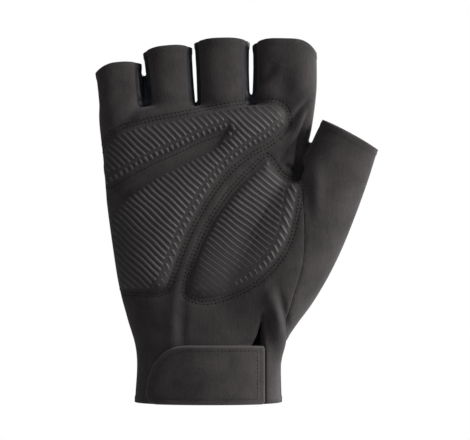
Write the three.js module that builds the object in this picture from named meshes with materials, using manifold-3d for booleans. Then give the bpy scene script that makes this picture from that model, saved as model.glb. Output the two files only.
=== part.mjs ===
// A right-hand fingerless cycling glove, filled out as if a hand wore it, in millimetres.
// +Z runs from the wrist to the fingertips, -Y is the palm side and +X the thumb side.
// The origin is the middle of the wrist opening.
import * as THREE from "three";
import { mergeVertices } from "three/addons/utils/BufferGeometryUtils.js";
import Module from "manifold-3d";

const wasm = await Module();
wasm.setup();

// Driving dimensions
const PALM_WIDTH = 95; // across the knuckles, little finger to index finger
const PALM_HEIGHT = 133; // from the wrist's edge to the fork of the fingers
const HAND_DEPTH = 34; // palm to back, with the hand flat
const FINGER_LENGTH = 28; // the middle finger's, from its fork to the top of its hem
const THUMB_LENGTH = 106; // from the heel of the thumb to its hem
const THUMB_LEAN = 28.5; // degrees from upright, away from the palm
const THUMB_FORWARD = 7; // how far the thumb's end stands in front of the hand's mid plane
const WALL = 1.3; // fabric
const SEAM_GAP = 0.3; // between pieces that are sewn together
const HEM_DIP = 3.6; // how far a finger's hem drops beside its top
const THUMB_HEM_DIP = 1.6;
const GUSSET_WIDTH = 11.5; // the strip between two fingers, palm to back
const GUSSET_LOOP = 4.6; // half the width of its loop on the back of the hand
const GUSSET_DROP = 7; // how far that loop runs below the fork
const PAD_EDGE_HEIGHT = 1.3;
const PAD_HEIGHT = 2.5;
const PAD_SHOULDER = 2.2; // from a pad's edge to its full height
const TAB_THICKNESS = 2;
const TAB_LENGTH = 50;
const TAB_WIDTH = 24.5;
const TAB_ROUNDING = 17; // how far the free end's upper corner is rounded off
const TAB_CORNER = 4; // radius of its lower corner
const CUFF_MARGIN = 0.8; // from the wrist's edge up to the tab
const SLIT_X = 24.3; // the wrist slit's place on the thumb side, where the tab is sewn on
const SLIT_HEIGHT = 37;
const SLIT_SPREAD = 6.5; // how wide the slit stands open under the tab
const FOLD_BULGE = 2.6; // how proud the fold of fabric beside the slit stands
const FOLD_WIDTH = 9.5;

// Fineness of the faceted surfaces
const BODY_SIDES = 40;
const BODY_RINGS = 14;
const FINGER_SIDES = 22;
const FINGER_RINGS = 5;
const THUMB_SIDES = 26;
const THUMB_RINGS = 9;
const FOLD_SIDES = 14;
const GUSSET_LOOP_STEPS = 8;
const TAB_CURVE_STEPS = 8;
const SEAM_STEPS = 12;
const PAD_POINTS_PER_ROW = 1.5;
const FAR = 150; // past every part of the glove

// How square the tubes' sections are (2 is an ellipse), and how suddenly a hem drops at its sides
const FINGER_SQUARENESS = 2.25;
const THUMB_SQUARENESS = 2.2;
const HEM_SHARPNESS = 4;
const TAB_FULLNESS = 0.35; // of the curve at the tab's free end

// The hand without its thumb, from the wrist up. Heights are shares of PALM_HEIGHT, the two sides
// shares of PALM_WIDTH and the two depths shares of HAND_DEPTH, all from the wrist's axis.
const HAND_SECTIONS = [
  { height: 0.0, littleSide: 0.343, thumbSide: 0.341, palm: 0.61, back: 0.6, squareness: 2.1 },
  { height: 0.19, littleSide: 0.343, thumbSide: 0.346, palm: 0.59, back: 0.58, squareness: 2.15 },
  { height: 0.28, littleSide: 0.38, thumbSide: 0.375, palm: 0.58, back: 0.56, squareness: 2.2 },
  { height: 0.36, littleSide: 0.41, thumbSide: 0.395, palm: 0.57, back: 0.54, squareness: 2.3 },
  { height: 0.47, littleSide: 0.438, thumbSide: 0.415, palm: 0.54, back: 0.52, squareness: 2.4 },
  { height: 0.61, littleSide: 0.466, thumbSide: 0.438, palm: 0.49, back: 0.5, squareness: 2.5 },
  { height: 0.76, littleSide: 0.486, thumbSide: 0.453, palm: 0.45, back: 0.48, squareness: 2.6 },
  { height: 0.88, littleSide: 0.496, thumbSide: 0.463, palm: 0.42, back: 0.45, squareness: 2.6 },
  { height: 0.95, littleSide: 0.5, thumbSide: 0.47, palm: 0.38, back: 0.41, squareness: 2.6 },
  { height: 1.0, littleSide: 0.49, thumbSide: 0.465, palm: 0.3, back: 0.33, squareness: 2.5 },
];

// The fingers, each a tube from inside the hand to its hem. foot and tip are the tube's middle and
// width its full width, as shares of PALM_WIDTH. depth is a share of HAND_DEPTH, and reach the
// hem's height above the fork as a share of FINGER_LENGTH.
const FINGERS = [
  { name: "little", foot: -0.37, tip: -0.423, width: 0.217, depth: 0.54, reach: 0.61 },
  { name: "ring", foot: -0.139, tip: -0.194, width: 0.226, depth: 0.6, reach: 0.88 },
  { name: "middle", foot: 0.076, tip: 0.062, width: 0.25, depth: 0.63, reach: 1.0 },
  { name: "index", foot: 0.325, tip: 0.349, width: 0.285, depth: 0.64, reach: 0.98 },
];
const FINGER_ROOT = 0.75; // where a finger's tube starts inside the hand, a share of PALM_HEIGHT

// A finger's girth from its foot to its hem, as a share of its width and depth.
const FINGER_SECTIONS = [
  { along: 0.0, girth: 0.72 },
  { along: 0.3, girth: 0.93 },
  { along: 0.55, girth: 1.0 },
  { along: 1.0, girth: 0.98 },
];

// The thumb and its muscle, along a straight axis from the wrist's middle. along is a share of
// THUMB_LENGTH, the two sides shares of PALM_WIDTH and the depths shares of HAND_DEPTH.
const THUMB_FOOT_X = 0.12; // shares of PALM_WIDTH and PALM_HEIGHT
const THUMB_FOOT_Z = 0.18;
const THUMB_SECTIONS = [
  { along: 0.0, outer: 0.155, inner: 0.12, palm: 0.5, back: 0.46 },
  { along: 0.13, outer: 0.183, inner: 0.16, palm: 0.55, back: 0.49 },
  { along: 0.26, outer: 0.211, inner: 0.19, palm: 0.58, back: 0.5 },
  { along: 0.4, outer: 0.224, inner: 0.2, palm: 0.57, back: 0.49 },
  { along: 0.56, outer: 0.22, inner: 0.18, palm: 0.5, back: 0.45 },
  { along: 0.72, outer: 0.2, inner: 0.155, palm: 0.41, back: 0.4 },
  { along: 0.86, outer: 0.175, inner: 0.145, palm: 0.36, back: 0.36 },
  { along: 1.0, outer: 0.145, inner: 0.145, palm: 0.34, back: 0.34 },
];

// Where the side seam runs: its distance behind the hand's mid plane, as a share of HAND_DEPTH,
// at heights that are shares of PALM_HEIGHT.
const SIDE_SEAM = [
  { height: -0.2, behind: -0.03 },
  { height: 0.2, behind: -0.03 },
  { height: 0.4, behind: 0.13 },
  { height: 0.6, behind: 0.08 },
  { height: 0.9, behind: 0.0 },
  { height: 1.6, behind: 0.0 },
];

// The thumb piece's edge, from its lower end up to the fork of thumb and index finger, in shares
// of PALM_WIDTH and PALM_HEIGHT.
const THUMB_EDGE_ON_PALM = [
  { x: 0.36, z: 0.19 },
  { x: 0.36, z: 0.26 },
  { x: 0.39, z: 0.35 },
  { x: 0.435, z: 0.47 },
  { x: 0.44, z: 0.62 },
  { x: 0.42, z: 0.78 },
];
const THUMB_EDGE_ON_BACK = [
  { x: 0.325, z: 0.105 },
  { x: 0.315, z: 0.17 },
  { x: 0.33, z: 0.26 },
  { x: 0.375, z: 0.36 },
  { x: 0.4, z: 0.47 },
  { x: 0.412, z: 0.62 },
  { x: 0.412, z: 0.76 },
];
const THUMB_FORK = [
  { x: 0.466, z: 0.85 },
  { x: 0.49, z: 0.9 },
];

// The pads' outlines, in shares of PALM_WIDTH and PALM_HEIGHT. The first has two lobes, which join
// below the index finger. A corner row keeps a sharp turn.
const PALM_PAD = [
  { x: -0.4, z: 0.377, corner: true },
  { x: -0.425, z: 0.45 },
  { x: -0.447, z: 0.54 },
  { x: -0.455, z: 0.617, corner: true },
  { x: -0.357, z: 0.682 },
  { x: -0.26, z: 0.725 },
  { x: -0.14, z: 0.768 },
  { x: -0.03, z: 0.803 },
  { x: 0.045, z: 0.848 },
  { x: 0.088, z: 0.902, corner: true },
  { x: -0.018, z: 0.885 },
  { x: -0.139, z: 0.849 },
  { x: -0.26, z: 0.807 },
  { x: -0.381, z: 0.759 },
  { x: -0.472, z: 0.716, corner: true },
  { x: -0.487, z: 0.79 },
  { x: -0.46, z: 0.86 },
  { x: -0.4, z: 0.897 },
  { x: -0.26, z: 0.923 },
  { x: -0.1, z: 0.945 },
  { x: 0.1, z: 0.973 },
  { x: 0.27, z: 0.985 },
  { x: 0.345, z: 0.972 },
  { x: 0.352, z: 0.93 },
  { x: 0.27, z: 0.883 },
  { x: 0.175, z: 0.845 },
  { x: 0.09, z: 0.798 },
  { x: 0.018, z: 0.738 },
  { x: -0.048, z: 0.664 },
  { x: -0.11, z: 0.58 },
  { x: -0.16, z: 0.49 },
  { x: -0.205, z: 0.4 },
  { x: -0.24, z: 0.377 },
];
const THUMB_PAD = [
  { x: 0.272, z: 0.807, corner: true },
  { x: 0.14, z: 0.711 },
  { x: 0.066, z: 0.642 },
  { x: 0.006, z: 0.57 },
  { x: -0.043, z: 0.492 },
  { x: -0.08, z: 0.413 },
  { x: -0.09, z: 0.366, corner: true },
  { x: -0.03, z: 0.35 },
  { x: 0.055, z: 0.358 },
  { x: 0.15, z: 0.384 },
  { x: 0.236, z: 0.423 },
  { x: 0.308, z: 0.475 },
  { x: 0.357, z: 0.535 },
  { x: 0.386, z: 0.604 },
  { x: 0.404, z: 0.673 },
  { x: 0.417, z: 0.724, corner: true },
  { x: 0.338, z: 0.742 },
];

// The fold of palm fabric beside the top of the wrist slit. Heights are shares of SLIT_HEIGHT, the
// half width is a share of FOLD_WIDTH and proud one of FOLD_BULGE.
const CUFF_FOLD = [
  { height: 0.5, halfWidth: 0.2, proud: 0.2 },
  { height: 0.64, halfWidth: 0.42, proud: 0.8 },
  { height: 0.8, halfWidth: 0.5, proud: 1.0 },
  { height: 0.97, halfWidth: 0.42, proud: 0.9 },
  { height: 1.14, halfWidth: 0.2, proud: 0.3 },
];

const suede = new THREE.MeshStandardMaterial({ color: 0x3b3837, roughness: 0.95, metalness: 0 });
const knit = new THREE.MeshStandardMaterial({ color: 0x1d1d23, roughness: 0.75, metalness: 0 });
const padCover = new THREE.MeshStandardMaterial({ color: 0x343231, roughness: 0.8, metalness: 0 });

// The rows of a table at evenly spread places along its first column, joined by smooth curves.
function smoothRows(rows, count) {
  const keys = Object.keys(rows[0]);
  const places = rows.map((row) => row[keys[0]]);
  const values = rows.flatMap((row) => keys.map((key) => row[key]));
  const curve = new THREE.CubicInterpolant(places, values, keys.length);
  return Array.from({ length: count }, (_, i) => {
    const share = i / (count - 1);
    const found = curve.evaluate(THREE.MathUtils.lerp(places[0], places.at(-1), share));
    return Object.fromEntries(keys.map((key, k) => [key, found[k]]));
  });
}

// A closed mesh as a solid for cutting and joining.
function toSolid(geometry) {
  const bare = new THREE.BufferGeometry();
  bare.setAttribute("position", geometry.getAttribute("position"));
  if (geometry.index) bare.setIndex(geometry.index);
  const merged = mergeVertices(bare, 1e-4);
  return new wasm.Manifold(
    new wasm.Mesh({
      numProp: 3,
      vertProperties: merged.attributes.position.array,
      triVerts: new Uint32Array(merged.index.array),
    }),
  );
}

// A closed tube through rings of points, which run round it the same way, with both ends filled.
function loft(rings) {
  const sides = rings[0].length;
  const middles = [rings[0], rings.at(-1)].map((ring) =>
    ring.reduce((sum, point) => sum.add(point), new THREE.Vector3()).divideScalar(sides),
  );
  const points = [...rings.flat(), ...middles];
  const [firstMiddle, lastMiddle] = [points.length - 2, points.length - 1];
  const topRing = (rings.length - 1) * sides;
  const faces = [];
  for (let side = 0; side < sides; side++) {
    const next = (side + 1) % sides;
    faces.push(firstMiddle, next, side);
    faces.push(lastMiddle, topRing + side, topRing + next);
    for (let ring = 0; ring < rings.length - 1; ring++) {
      const [low, high] = [ring * sides, (ring + 1) * sides];
      faces.push(low + side, low + next, high + next);
      faces.push(low + side, high + next, high + side);
    }
  }
  const geometry = new THREE.BufferGeometry();
  geometry.setFromPoints(points).setIndex(faces);
  return toSolid(geometry);
}

// One ring: a rounded outline about centre, in the plane of across and the Y axis. dip lowers the
// ring along its axis towards the two sides.
function ring({ centre, across, axis, left, right, palm, back, squareness, sides, dip = 0 }) {
  const bend = (value) => Math.sign(value) * Math.abs(value) ** (2 / squareness);
  return Array.from({ length: sides }, (_, i) => {
    const angle = (2 * Math.PI * i) / sides;
    const [side, depth] = [bend(Math.cos(angle)), bend(Math.sin(angle))];
    return centre
      .clone()
      .addScaledVector(across, side * (side > 0 ? right : left))
      .addScaledVector(new THREE.Vector3(0, 1, 0), depth * (depth > 0 ? back : palm))
      .addScaledVector(axis, -dip * Math.cos(angle) ** HEM_SHARPNESS);
  });
}

// The hand from wrist to fork, grown by offset. A hollow one runs on past the wrist.
function handLoft(offset, hollow) {
  const up = new THREE.Vector3(0, 0, 1);
  const rings = smoothRows(HAND_SECTIONS, BODY_RINGS).map((row, i, rows) => {
    let z = row.height * PALM_HEIGHT;
    if (i === 0 && hollow) z -= 2 * WALL;
    if (i === rows.length - 1) z += offset;
    return ring({
      centre: new THREE.Vector3(0, 0, z),
      across: new THREE.Vector3(1, 0, 0),
      axis: up,
      left: row.littleSide * PALM_WIDTH + offset,
      right: row.thumbSide * PALM_WIDTH + offset,
      palm: row.palm * HAND_DEPTH + offset,
      back: row.back * HAND_DEPTH + offset,
      squareness: row.squareness,
      sides: BODY_SIDES,
    });
  });
  return loft(rings);
}

const fingerTop = (finger) => PALM_HEIGHT + finger.reach * FINGER_LENGTH;

// One finger's tube, grown by offset. A hollow one runs on past the hem.
function fingerLoft(finger, offset, hollow) {
  const foot = new THREE.Vector3(finger.foot * PALM_WIDTH, 0, FINGER_ROOT * PALM_HEIGHT);
  const tip = new THREE.Vector3(finger.tip * PALM_WIDTH, 0, fingerTop(finger));
  const axis = tip.clone().sub(foot).normalize();
  const across = new THREE.Vector3(0, 1, 0).cross(axis);
  const rings = smoothRows(FINGER_SECTIONS, FINGER_RINGS).map((row, i, rows) => {
    const halfWidth = (row.girth * finger.width * PALM_WIDTH) / 2 + offset;
    const halfDepth = (row.girth * finger.depth * HAND_DEPTH) / 2 + offset;
    const last = i === rows.length - 1;
    const centre = foot.clone().lerp(tip, row.along);
    if (last && hollow) centre.addScaledVector(axis, 2 * HEM_DIP);
    return ring({
      centre,
      across,
      axis,
      left: halfWidth,
      right: halfWidth,
      palm: halfDepth,
      back: halfDepth,
      squareness: FINGER_SQUARENESS,
      sides: FINGER_SIDES,
      dip: last && !hollow ? HEM_DIP : 0,
    });
  });
  return loft(rings);
}

// The thumb's tube and muscle, grown by offset. A hollow one runs on past the hem.
function thumbLoft(offset, hollow) {
  const lean = THREE.MathUtils.degToRad(THUMB_LEAN);
  const foot = new THREE.Vector3(THUMB_FOOT_X * PALM_WIDTH, 0, THUMB_FOOT_Z * PALM_HEIGHT);
  const upright = new THREE.Vector3(Math.sin(lean), 0, Math.cos(lean));
  const tip = foot.clone().addScaledVector(upright, THUMB_LENGTH);
  tip.y = -THUMB_FORWARD;
  const axis = tip.clone().sub(foot).normalize();
  const across = new THREE.Vector3(Math.cos(lean), 0, -Math.sin(lean));
  const rings = smoothRows(THUMB_SECTIONS, THUMB_RINGS).map((row, i, rows) => {
    const last = i === rows.length - 1;
    const centre = foot.clone().lerp(tip, row.along);
    if (last && hollow) centre.addScaledVector(axis, 2 * HEM_DIP);
    return ring({
      centre,
      across,
      axis,
      left: row.inner * PALM_WIDTH + offset,
      right: row.outer * PALM_WIDTH + offset,
      palm: row.palm * HAND_DEPTH + offset,
      back: row.back * HAND_DEPTH + offset,
      squareness: THUMB_SQUARENESS,
      sides: THUMB_SIDES,
      dip: last && !hollow ? THUMB_HEM_DIP : 0,
    });
  });
  return loft(rings);
}

// The whole filled-out form, grown by offset.
function wholeHand(offset, hollow = false) {
  return FINGERS.reduce(
    (hand, finger) => hand.add(fingerLoft(finger, offset, hollow)),
    handLoft(offset, hollow).add(thumbLoft(offset, hollow)),
  );
}

// A straight prism over an outline of [x, z] points, from one y to another.
function prism(outline, fromY, toY) {
  const shape = new THREE.Shape(outline.map(([x, z]) => new THREE.Vector2(x, z)));
  const geometry = new THREE.ExtrudeGeometry(shape, { depth: toY - fromY, bevelEnabled: false });
  geometry.rotateX(Math.PI / 2).translate(0, toY, 0);
  return toSolid(geometry);
}

// A table's rows as [x, z] points.
const placed = (rows) => rows.map((row) => [row.x * PALM_WIDTH, row.z * PALM_HEIGHT]);

// A closed outline through a table's rows, curved between its corners.
function curvedOutline(rows, pointsPerSpan) {
  const corners = rows.flatMap((row, i) => (row.corner ? [i] : []));
  const outline = [];
  corners.forEach((start, c) => {
    const end = corners[(c + 1) % corners.length];
    const span = [rows[start]];
    for (let i = start; i !== end; ) {
      i = (i + 1) % rows.length;
      span.push(rows[i]);
    }
    const points = placed(span).map(([x, z]) => new THREE.Vector2(x, z));
    const count = Math.max(1, Math.round((span.length - 1) * pointsPerSpan));
    const curve = new THREE.SplineCurve(points);
    outline.push(...curve.getPoints(count).slice(0, -1));
  });
  return outline.map((point) => [point.x, point.y]);
}

// An outline moved outwards by distance, or inwards if that is negative.
function offsetOutline(outline, distance) {
  const points = outline.map(([x, z]) => new THREE.Vector2(x, z));
  const turn = Math.sign(THREE.ShapeUtils.area(points));
  return points.map((point, i) => {
    const before = points.at(i - 1);
    const after = points[(i + 1) % points.length];
    const into = point.clone().sub(before).normalize();
    const out = after.clone().sub(point).normalize();
    const normal = new THREE.Vector2(into.y + out.y, -into.x - out.x).multiplyScalar(turn);
    const stretch = Math.max(0.5, (1 + into.dot(out)) / 2) ** 0.5;
    normal.setLength(distance / stretch);
    return [point.x + normal.x, point.y + normal.y];
  });
}

// Everything on the palm side of the side seam, or on the back side of it.
function sideOfSeam(isPalm) {
  const clear = isPalm ? 0 : SEAM_GAP;
  const far = isPalm ? -FAR : FAR;
  const seam = smoothRows(SIDE_SEAM, SEAM_STEPS).map((row) => {
    return new THREE.Vector2(row.behind * HAND_DEPTH + clear, row.height * PALM_HEIGHT);
  });
  const ends = [new THREE.Vector2(far, seam.at(-1).y), new THREE.Vector2(far, seam[0].y)];
  const shape = new THREE.Shape([...seam, ...ends]);
  const geometry = new THREE.ExtrudeGeometry(shape, { depth: 2 * FAR, bevelEnabled: false });
  const yToZ = new THREE.Matrix4().makeBasis(
    new THREE.Vector3(0, 1, 0),
    new THREE.Vector3(0, 0, 1),
    new THREE.Vector3(1, 0, 0),
  );
  geometry.translate(0, 0, -FAR).applyMatrix4(yToZ);
  return toSolid(geometry);
}

// The space that belongs to the thumb piece, grown by clear on every side.
function thumbZone(clear) {
  const outlineFrom = (edge) => {
    const low = edge[0].z * PALM_HEIGHT;
    const inside = placed([...edge, ...THUMB_FORK]);
    const [top, high] = [inside.at(-1)[0], FAR + PALM_HEIGHT];
    return offsetOutline([...inside, [top, high], [FAR, high], [FAR, low]], clear);
  };
  const seam = SIDE_SEAM[2].behind * HAND_DEPTH;
  const palm = prism(outlineFrom(THUMB_EDGE_ON_PALM), -FAR, seam + clear);
  return palm.add(prism(outlineFrom(THUMB_EDGE_ON_BACK), seam - clear, FAR));
}

// The middle of the gap between two fingers at a height.
function gapMiddle(left, right, z) {
  const root = FINGER_ROOT * PALM_HEIGHT;
  const edge = (finger, sign) => {
    const share = (z - root) / (fingerTop(finger) - root);
    const middle = THREE.MathUtils.lerp(finger.foot, finger.tip, share) * PALM_WIDTH;
    return middle + (sign * finger.width * PALM_WIDTH) / 2;
  };
  return (edge(left, 1) + edge(right, -1)) / 2;
}

// The space that belongs to the strip between two fingers, grown by clear on every side: the
// fingers' facing sides, and a loop round their fork on the back of the hand.
function gussetZone(left, right, clear) {
  const halfWidth = GUSSET_WIDTH / 2 + clear;
  const [from, to] = [left, right].map((finger) => finger.foot * PALM_WIDTH);
  const low = PALM_HEIGHT - 2 * WALL - clear;
  const high = PALM_HEIGHT + 2 * FINGER_LENGTH;
  const between = prism([[from, low], [to, low], [to, high], [from, high]], -halfWidth, halfWidth);
  const radius = GUSSET_LOOP + clear;
  const loopFoot = PALM_HEIGHT - GUSSET_DROP + GUSSET_LOOP;
  const round = Array.from({ length: GUSSET_LOOP_STEPS + 1 }, (_, i) => {
    const angle = Math.PI + (Math.PI * i) / GUSSET_LOOP_STEPS;
    return [
      gapMiddle(left, right, loopFoot) + radius * Math.cos(angle),
      loopFoot + radius * Math.sin(angle),
    ];
  });
  const top = gapMiddle(left, right, high);
  const loop = prism([...round, [top + radius, high], [top - radius, high]], 0, FAR);
  return between.add(loop);
}

// A raised pad that lies on the palm, in two steps.
function pad(rows) {
  const outline = curvedOutline(rows, PAD_POINTS_PER_ROW);
  const raised = (inset, height) => {
    return prism(offsetOutline(outline, -inset), -FAR, 0).intersect(wholeHand(SEAM_GAP + height));
  };
  return raised(0, PAD_EDGE_HEIGHT)
    .add(raised(PAD_SHOULDER, PAD_HEIGHT))
    .subtract(wholeHand(SEAM_GAP));
}

// The wrist tab: sewn along the slit, with its free end rounded.
function closureTab() {
  const right = SLIT_X - SEAM_GAP / 2;
  const left = right - TAB_LENGTH;
  const [low, high] = [CUFF_MARGIN, CUFF_MARGIN + TAB_WIDTH];
  const shape = new THREE.Shape();
  shape.moveTo(right, low);
  shape.lineTo(right, high);
  shape.lineTo(left + TAB_ROUNDING, high);
  const full = { x: left + TAB_ROUNDING * TAB_FULLNESS, z: low + TAB_WIDTH * (1 - TAB_FULLNESS) };
  shape.bezierCurveTo(full.x, high, left, full.z, left, low + TAB_CORNER);
  shape.quadraticCurveTo(left, low, left + TAB_CORNER, low);
  const outline = shape.getPoints(TAB_CURVE_STEPS).map((point) => [point.x, point.y]);
  return prism(outline, -FAR, 0)
    .intersect(wholeHand(SEAM_GAP + TAB_THICKNESS))
    .subtract(wholeHand(SEAM_GAP));
}

// The palm face of the hand without its thumb, at a place across and up it.
function palmFace(x, z) {
  const heights = HAND_SECTIONS.map((row) => row.height * PALM_HEIGHT);
  const widths = HAND_SECTIONS.flatMap((row) => [row.thumbSide * PALM_WIDTH, row.palm * HAND_DEPTH]);
  const [side, depth] = new THREE.LinearInterpolant(heights, widths, 2).evaluate(z);
  return -depth * Math.sqrt(1 - Math.min(1, x / side) ** 2);
}

// The strip of palm fabric that the tab is sewn to, beside the wrist slit.
function tabStrip() {
  const left = SLIT_X + SEAM_GAP / 2;
  const right = HAND_SECTIONS[0].thumbSide * PALM_WIDTH;
  const [low, high] = [CUFF_MARGIN, CUFF_MARGIN + TAB_WIDTH];
  return prism([[left, low], [right, low], [right, high], [left, high]], -FAR, 0)
    .intersect(wholeHand(SEAM_GAP + TAB_THICKNESS))
    .subtract(wholeHand(-WALL, true));
}

// The fold of palm fabric beside the top of the wrist slit.
function cuffFold() {
  const x = SLIT_X + SEAM_GAP / 2 + FOLD_WIDTH / 2;
  const rings = CUFF_FOLD.map((row) => {
    const z = row.height * SLIT_HEIGHT;
    const halfWidth = row.halfWidth * FOLD_WIDTH;
    return ring({
      centre: new THREE.Vector3(x, palmFace(x, z), z),
      across: new THREE.Vector3(1, 0, 0),
      axis: new THREE.Vector3(0, 0, 1),
      left: halfWidth,
      right: halfWidth,
      palm: row.proud * FOLD_BULGE,
      back: FOLD_BULGE,
      squareness: 2,
      sides: FOLD_SIDES,
    });
  });
  return loft(rings).subtract(wholeHand(-WALL, true));
}

// The wrist slit: it stands open under the tab and closes to a point above it.
function wristSlit() {
  const right = SLIT_X + SEAM_GAP / 2;
  const left = right - SLIT_SPREAD;
  const tabTop = CUFF_MARGIN + TAB_WIDTH;
  return prism([[left, -FAR], [right, -FAR], [right, SLIT_HEIGHT], [left, tabTop]], -FAR, 0);
}

const shell = wholeHand(0).subtract(wholeHand(-WALL, true));
const pairs = FINGERS.slice(1).map((finger, i) => [FINGERS[i], finger]);
const gussetZones = pairs.map(([left, right]) => gussetZone(left, right, SEAM_GAP));
const cutForOthers = (solid) => {
  return gussetZones.reduce((rest, zone) => rest.subtract(zone), solid.subtract(thumbZone(SEAM_GAP)));
};

const backPanel = cutForOthers(shell.intersect(sideOfSeam(false)));
const palmSide = shell.add(tabStrip()).add(cuffFold()).intersect(sideOfSeam(true));
const palmPanel = cutForOthers(palmSide).subtract(wristSlit());
const thumbPanel = shell.intersect(thumbZone(0));

const glove = new THREE.Group();
glove.name = "cycling_glove";

// Adds a solid to the glove as a named piece.
function addPiece(name, solid, material) {
  const mesh = solid.getMesh();
  const geometry = new THREE.BufferGeometry();
  geometry.setAttribute("position", new THREE.BufferAttribute(mesh.vertProperties, 3));
  geometry.setIndex(new THREE.BufferAttribute(mesh.triVerts, 1));
  geometry.computeVertexNormals();
  const piece = new THREE.Mesh(geometry, material);
  piece.name = name;
  glove.add(piece);
}

addPiece("back_panel", backPanel, knit);
addPiece("palm_panel", palmPanel, suede);
addPiece("thumb_panel", thumbPanel, suede);
pairs.forEach(([left, right]) => {
  const strip = shell.intersect(gussetZone(left, right, 0));
  addPiece(`gusset_${left.name}_${right.name}`, strip, knit);
});
addPiece("palm_pad", pad(PALM_PAD), padCover);
addPiece("thumb_base_pad", pad(THUMB_PAD), padCover);
addPiece("closure_tab", closureTab(), suede);

export default glove;
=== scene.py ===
"""A right-hand fingerless cycling glove, filled out as worn, with a suede palm and ribbed pads."""

import math
from functools import partial

import bpy
import numpy as np
from bpy.props import FloatProperty, FloatVectorProperty, PointerProperty
from bpy.types import Operator, Panel, PropertyGroup
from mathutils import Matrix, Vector
from mathutils.bvhtree import BVHTree


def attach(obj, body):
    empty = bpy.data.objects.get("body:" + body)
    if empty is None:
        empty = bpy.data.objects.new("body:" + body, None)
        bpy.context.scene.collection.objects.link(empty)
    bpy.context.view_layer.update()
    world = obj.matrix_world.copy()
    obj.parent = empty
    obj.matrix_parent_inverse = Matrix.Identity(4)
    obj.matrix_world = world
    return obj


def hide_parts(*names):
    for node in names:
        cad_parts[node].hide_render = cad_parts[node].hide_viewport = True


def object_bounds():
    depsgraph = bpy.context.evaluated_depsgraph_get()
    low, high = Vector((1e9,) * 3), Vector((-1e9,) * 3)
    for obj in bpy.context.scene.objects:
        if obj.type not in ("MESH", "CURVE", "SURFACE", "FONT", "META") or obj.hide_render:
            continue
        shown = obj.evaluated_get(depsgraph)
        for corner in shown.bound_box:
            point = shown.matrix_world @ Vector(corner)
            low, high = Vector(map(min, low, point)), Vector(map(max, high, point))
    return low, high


bl_info = {
    "name": "Cycling Glove",
    "version": (1, 0, 0),
    "blender": (4, 5, 0),
    "location": "View3D > Sidebar > Glove",
    "description": "Builds a fingerless cycling glove with its fabric, pads, stitches and studio",
    "category": "Object",
}

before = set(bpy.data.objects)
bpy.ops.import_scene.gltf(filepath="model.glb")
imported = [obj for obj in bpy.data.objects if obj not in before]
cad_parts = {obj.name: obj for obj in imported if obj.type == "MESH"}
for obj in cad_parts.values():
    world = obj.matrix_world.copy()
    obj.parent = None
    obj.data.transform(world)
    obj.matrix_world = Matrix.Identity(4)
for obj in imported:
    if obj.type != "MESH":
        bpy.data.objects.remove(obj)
FRAME_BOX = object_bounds()

MM = 0.001
COINCIDE = 0.002 * MM
FINGER_NAMES = ("little", "ring", "middle", "index")

# The hand without its thumb, from the wrist up. Heights are shares of the palm's height, the two
# sides shares of its width and the two depths shares of the hand's depth.
HAND_COLUMNS = ("height", "little_side", "thumb_side", "palm", "back", "squareness")
HAND_SECTIONS = (
    (0.00, 0.343, 0.341, 0.61, 0.60, 2.10),
    (0.19, 0.343, 0.346, 0.59, 0.58, 2.15),
    (0.28, 0.380, 0.375, 0.58, 0.56, 2.20),
    (0.36, 0.410, 0.395, 0.57, 0.54, 2.30),
    (0.47, 0.438, 0.415, 0.54, 0.52, 2.40),
    (0.61, 0.466, 0.438, 0.49, 0.50, 2.50),
    (0.76, 0.486, 0.453, 0.45, 0.48, 2.60),
    (0.88, 0.496, 0.463, 0.42, 0.45, 2.60),
    (0.95, 0.500, 0.470, 0.38, 0.41, 2.60),
    (1.00, 0.490, 0.465, 0.30, 0.33, 2.50),
)

# The fingers. foot and tip are the tube's middle and width its full width, as shares of the palm's
# width. depth is a share of the hand's depth and reach of the finger's length. The two dips are how
# far the hem falls at its little finger's side and its thumb's side, and round how late it falls.
FINGER_COLUMNS = ("foot", "tip", "width", "depth", "reach", "little_dip", "thumb_dip", "round")
FINGERS = (
    (-0.370, -0.423, 0.219, 0.54, 0.605, 1.00, 0.40, 2.4),
    (-0.139, -0.194, 0.228, 0.60, 0.865, 0.62, 0.45, 3.0),
    (0.077, 0.063, 0.257, 0.63, 0.985, 0.50, 0.50, 3.0),
    (0.339, 0.353, 0.297, 0.64, 0.975, 0.85, 1.60, 4.2),
)

# How much fuller the index finger is on its thumb side, in shares of its half width.
SWELL_COLUMNS = ("along", "swell")
INDEX_SWELL = (
    (0.0, 0.0), (0.22, -0.07), (0.36, -0.03), (0.5, 0.06), (0.66, 0.11), (0.8, 0.09), (1.0, -0.02),
)

# The webs in the gaps between fingers: their height above the fork at the palm and at the back, as
# shares of the finger's length.
WEBS = ((0.02, 0.40), (-0.2, -0.2), (0.06, 0.08))

# Where the fingers' tubes start, as a share of the palm's height, and their girth along them.
FINGER_ROOT = 0.75
FINGER_SQUARENESS = 2.25
GIRTH_COLUMNS = ("along", "girth")
FINGER_GIRTH = ((0.0, 0.72), (0.3, 0.91), (0.55, 0.955), (0.8, 0.96), (0.93, 0.98), (1.0, 1.0))

# The thumb and its muscle, along a straight axis from the wrist's middle.
THUMB_FOOT = (0.12, 0.18)
THUMB_SQUARENESS = 2.2
THUMB_COLUMNS = ("along", "outer", "inner", "palm", "back")
THUMB_SECTIONS = (
    (0.00, 0.110, 0.100, 0.26, 0.24),
    (0.13, 0.175, 0.150, 0.48, 0.43),
    (0.26, 0.211, 0.190, 0.58, 0.50),
    (0.40, 0.224, 0.200, 0.57, 0.49),
    (0.56, 0.220, 0.180, 0.50, 0.45),
    (0.72, 0.200, 0.155, 0.41, 0.40),
    (0.86, 0.175, 0.145, 0.36, 0.36),
    (1.00, 0.145, 0.145, 0.34, 0.34),
)

# How far the hand's tube starts below the wrist's edge, and the fork of the fingers lies below the
# palm's height.
HAND_START = 0.02
FORK_DROP = 2.2 * MM

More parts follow.
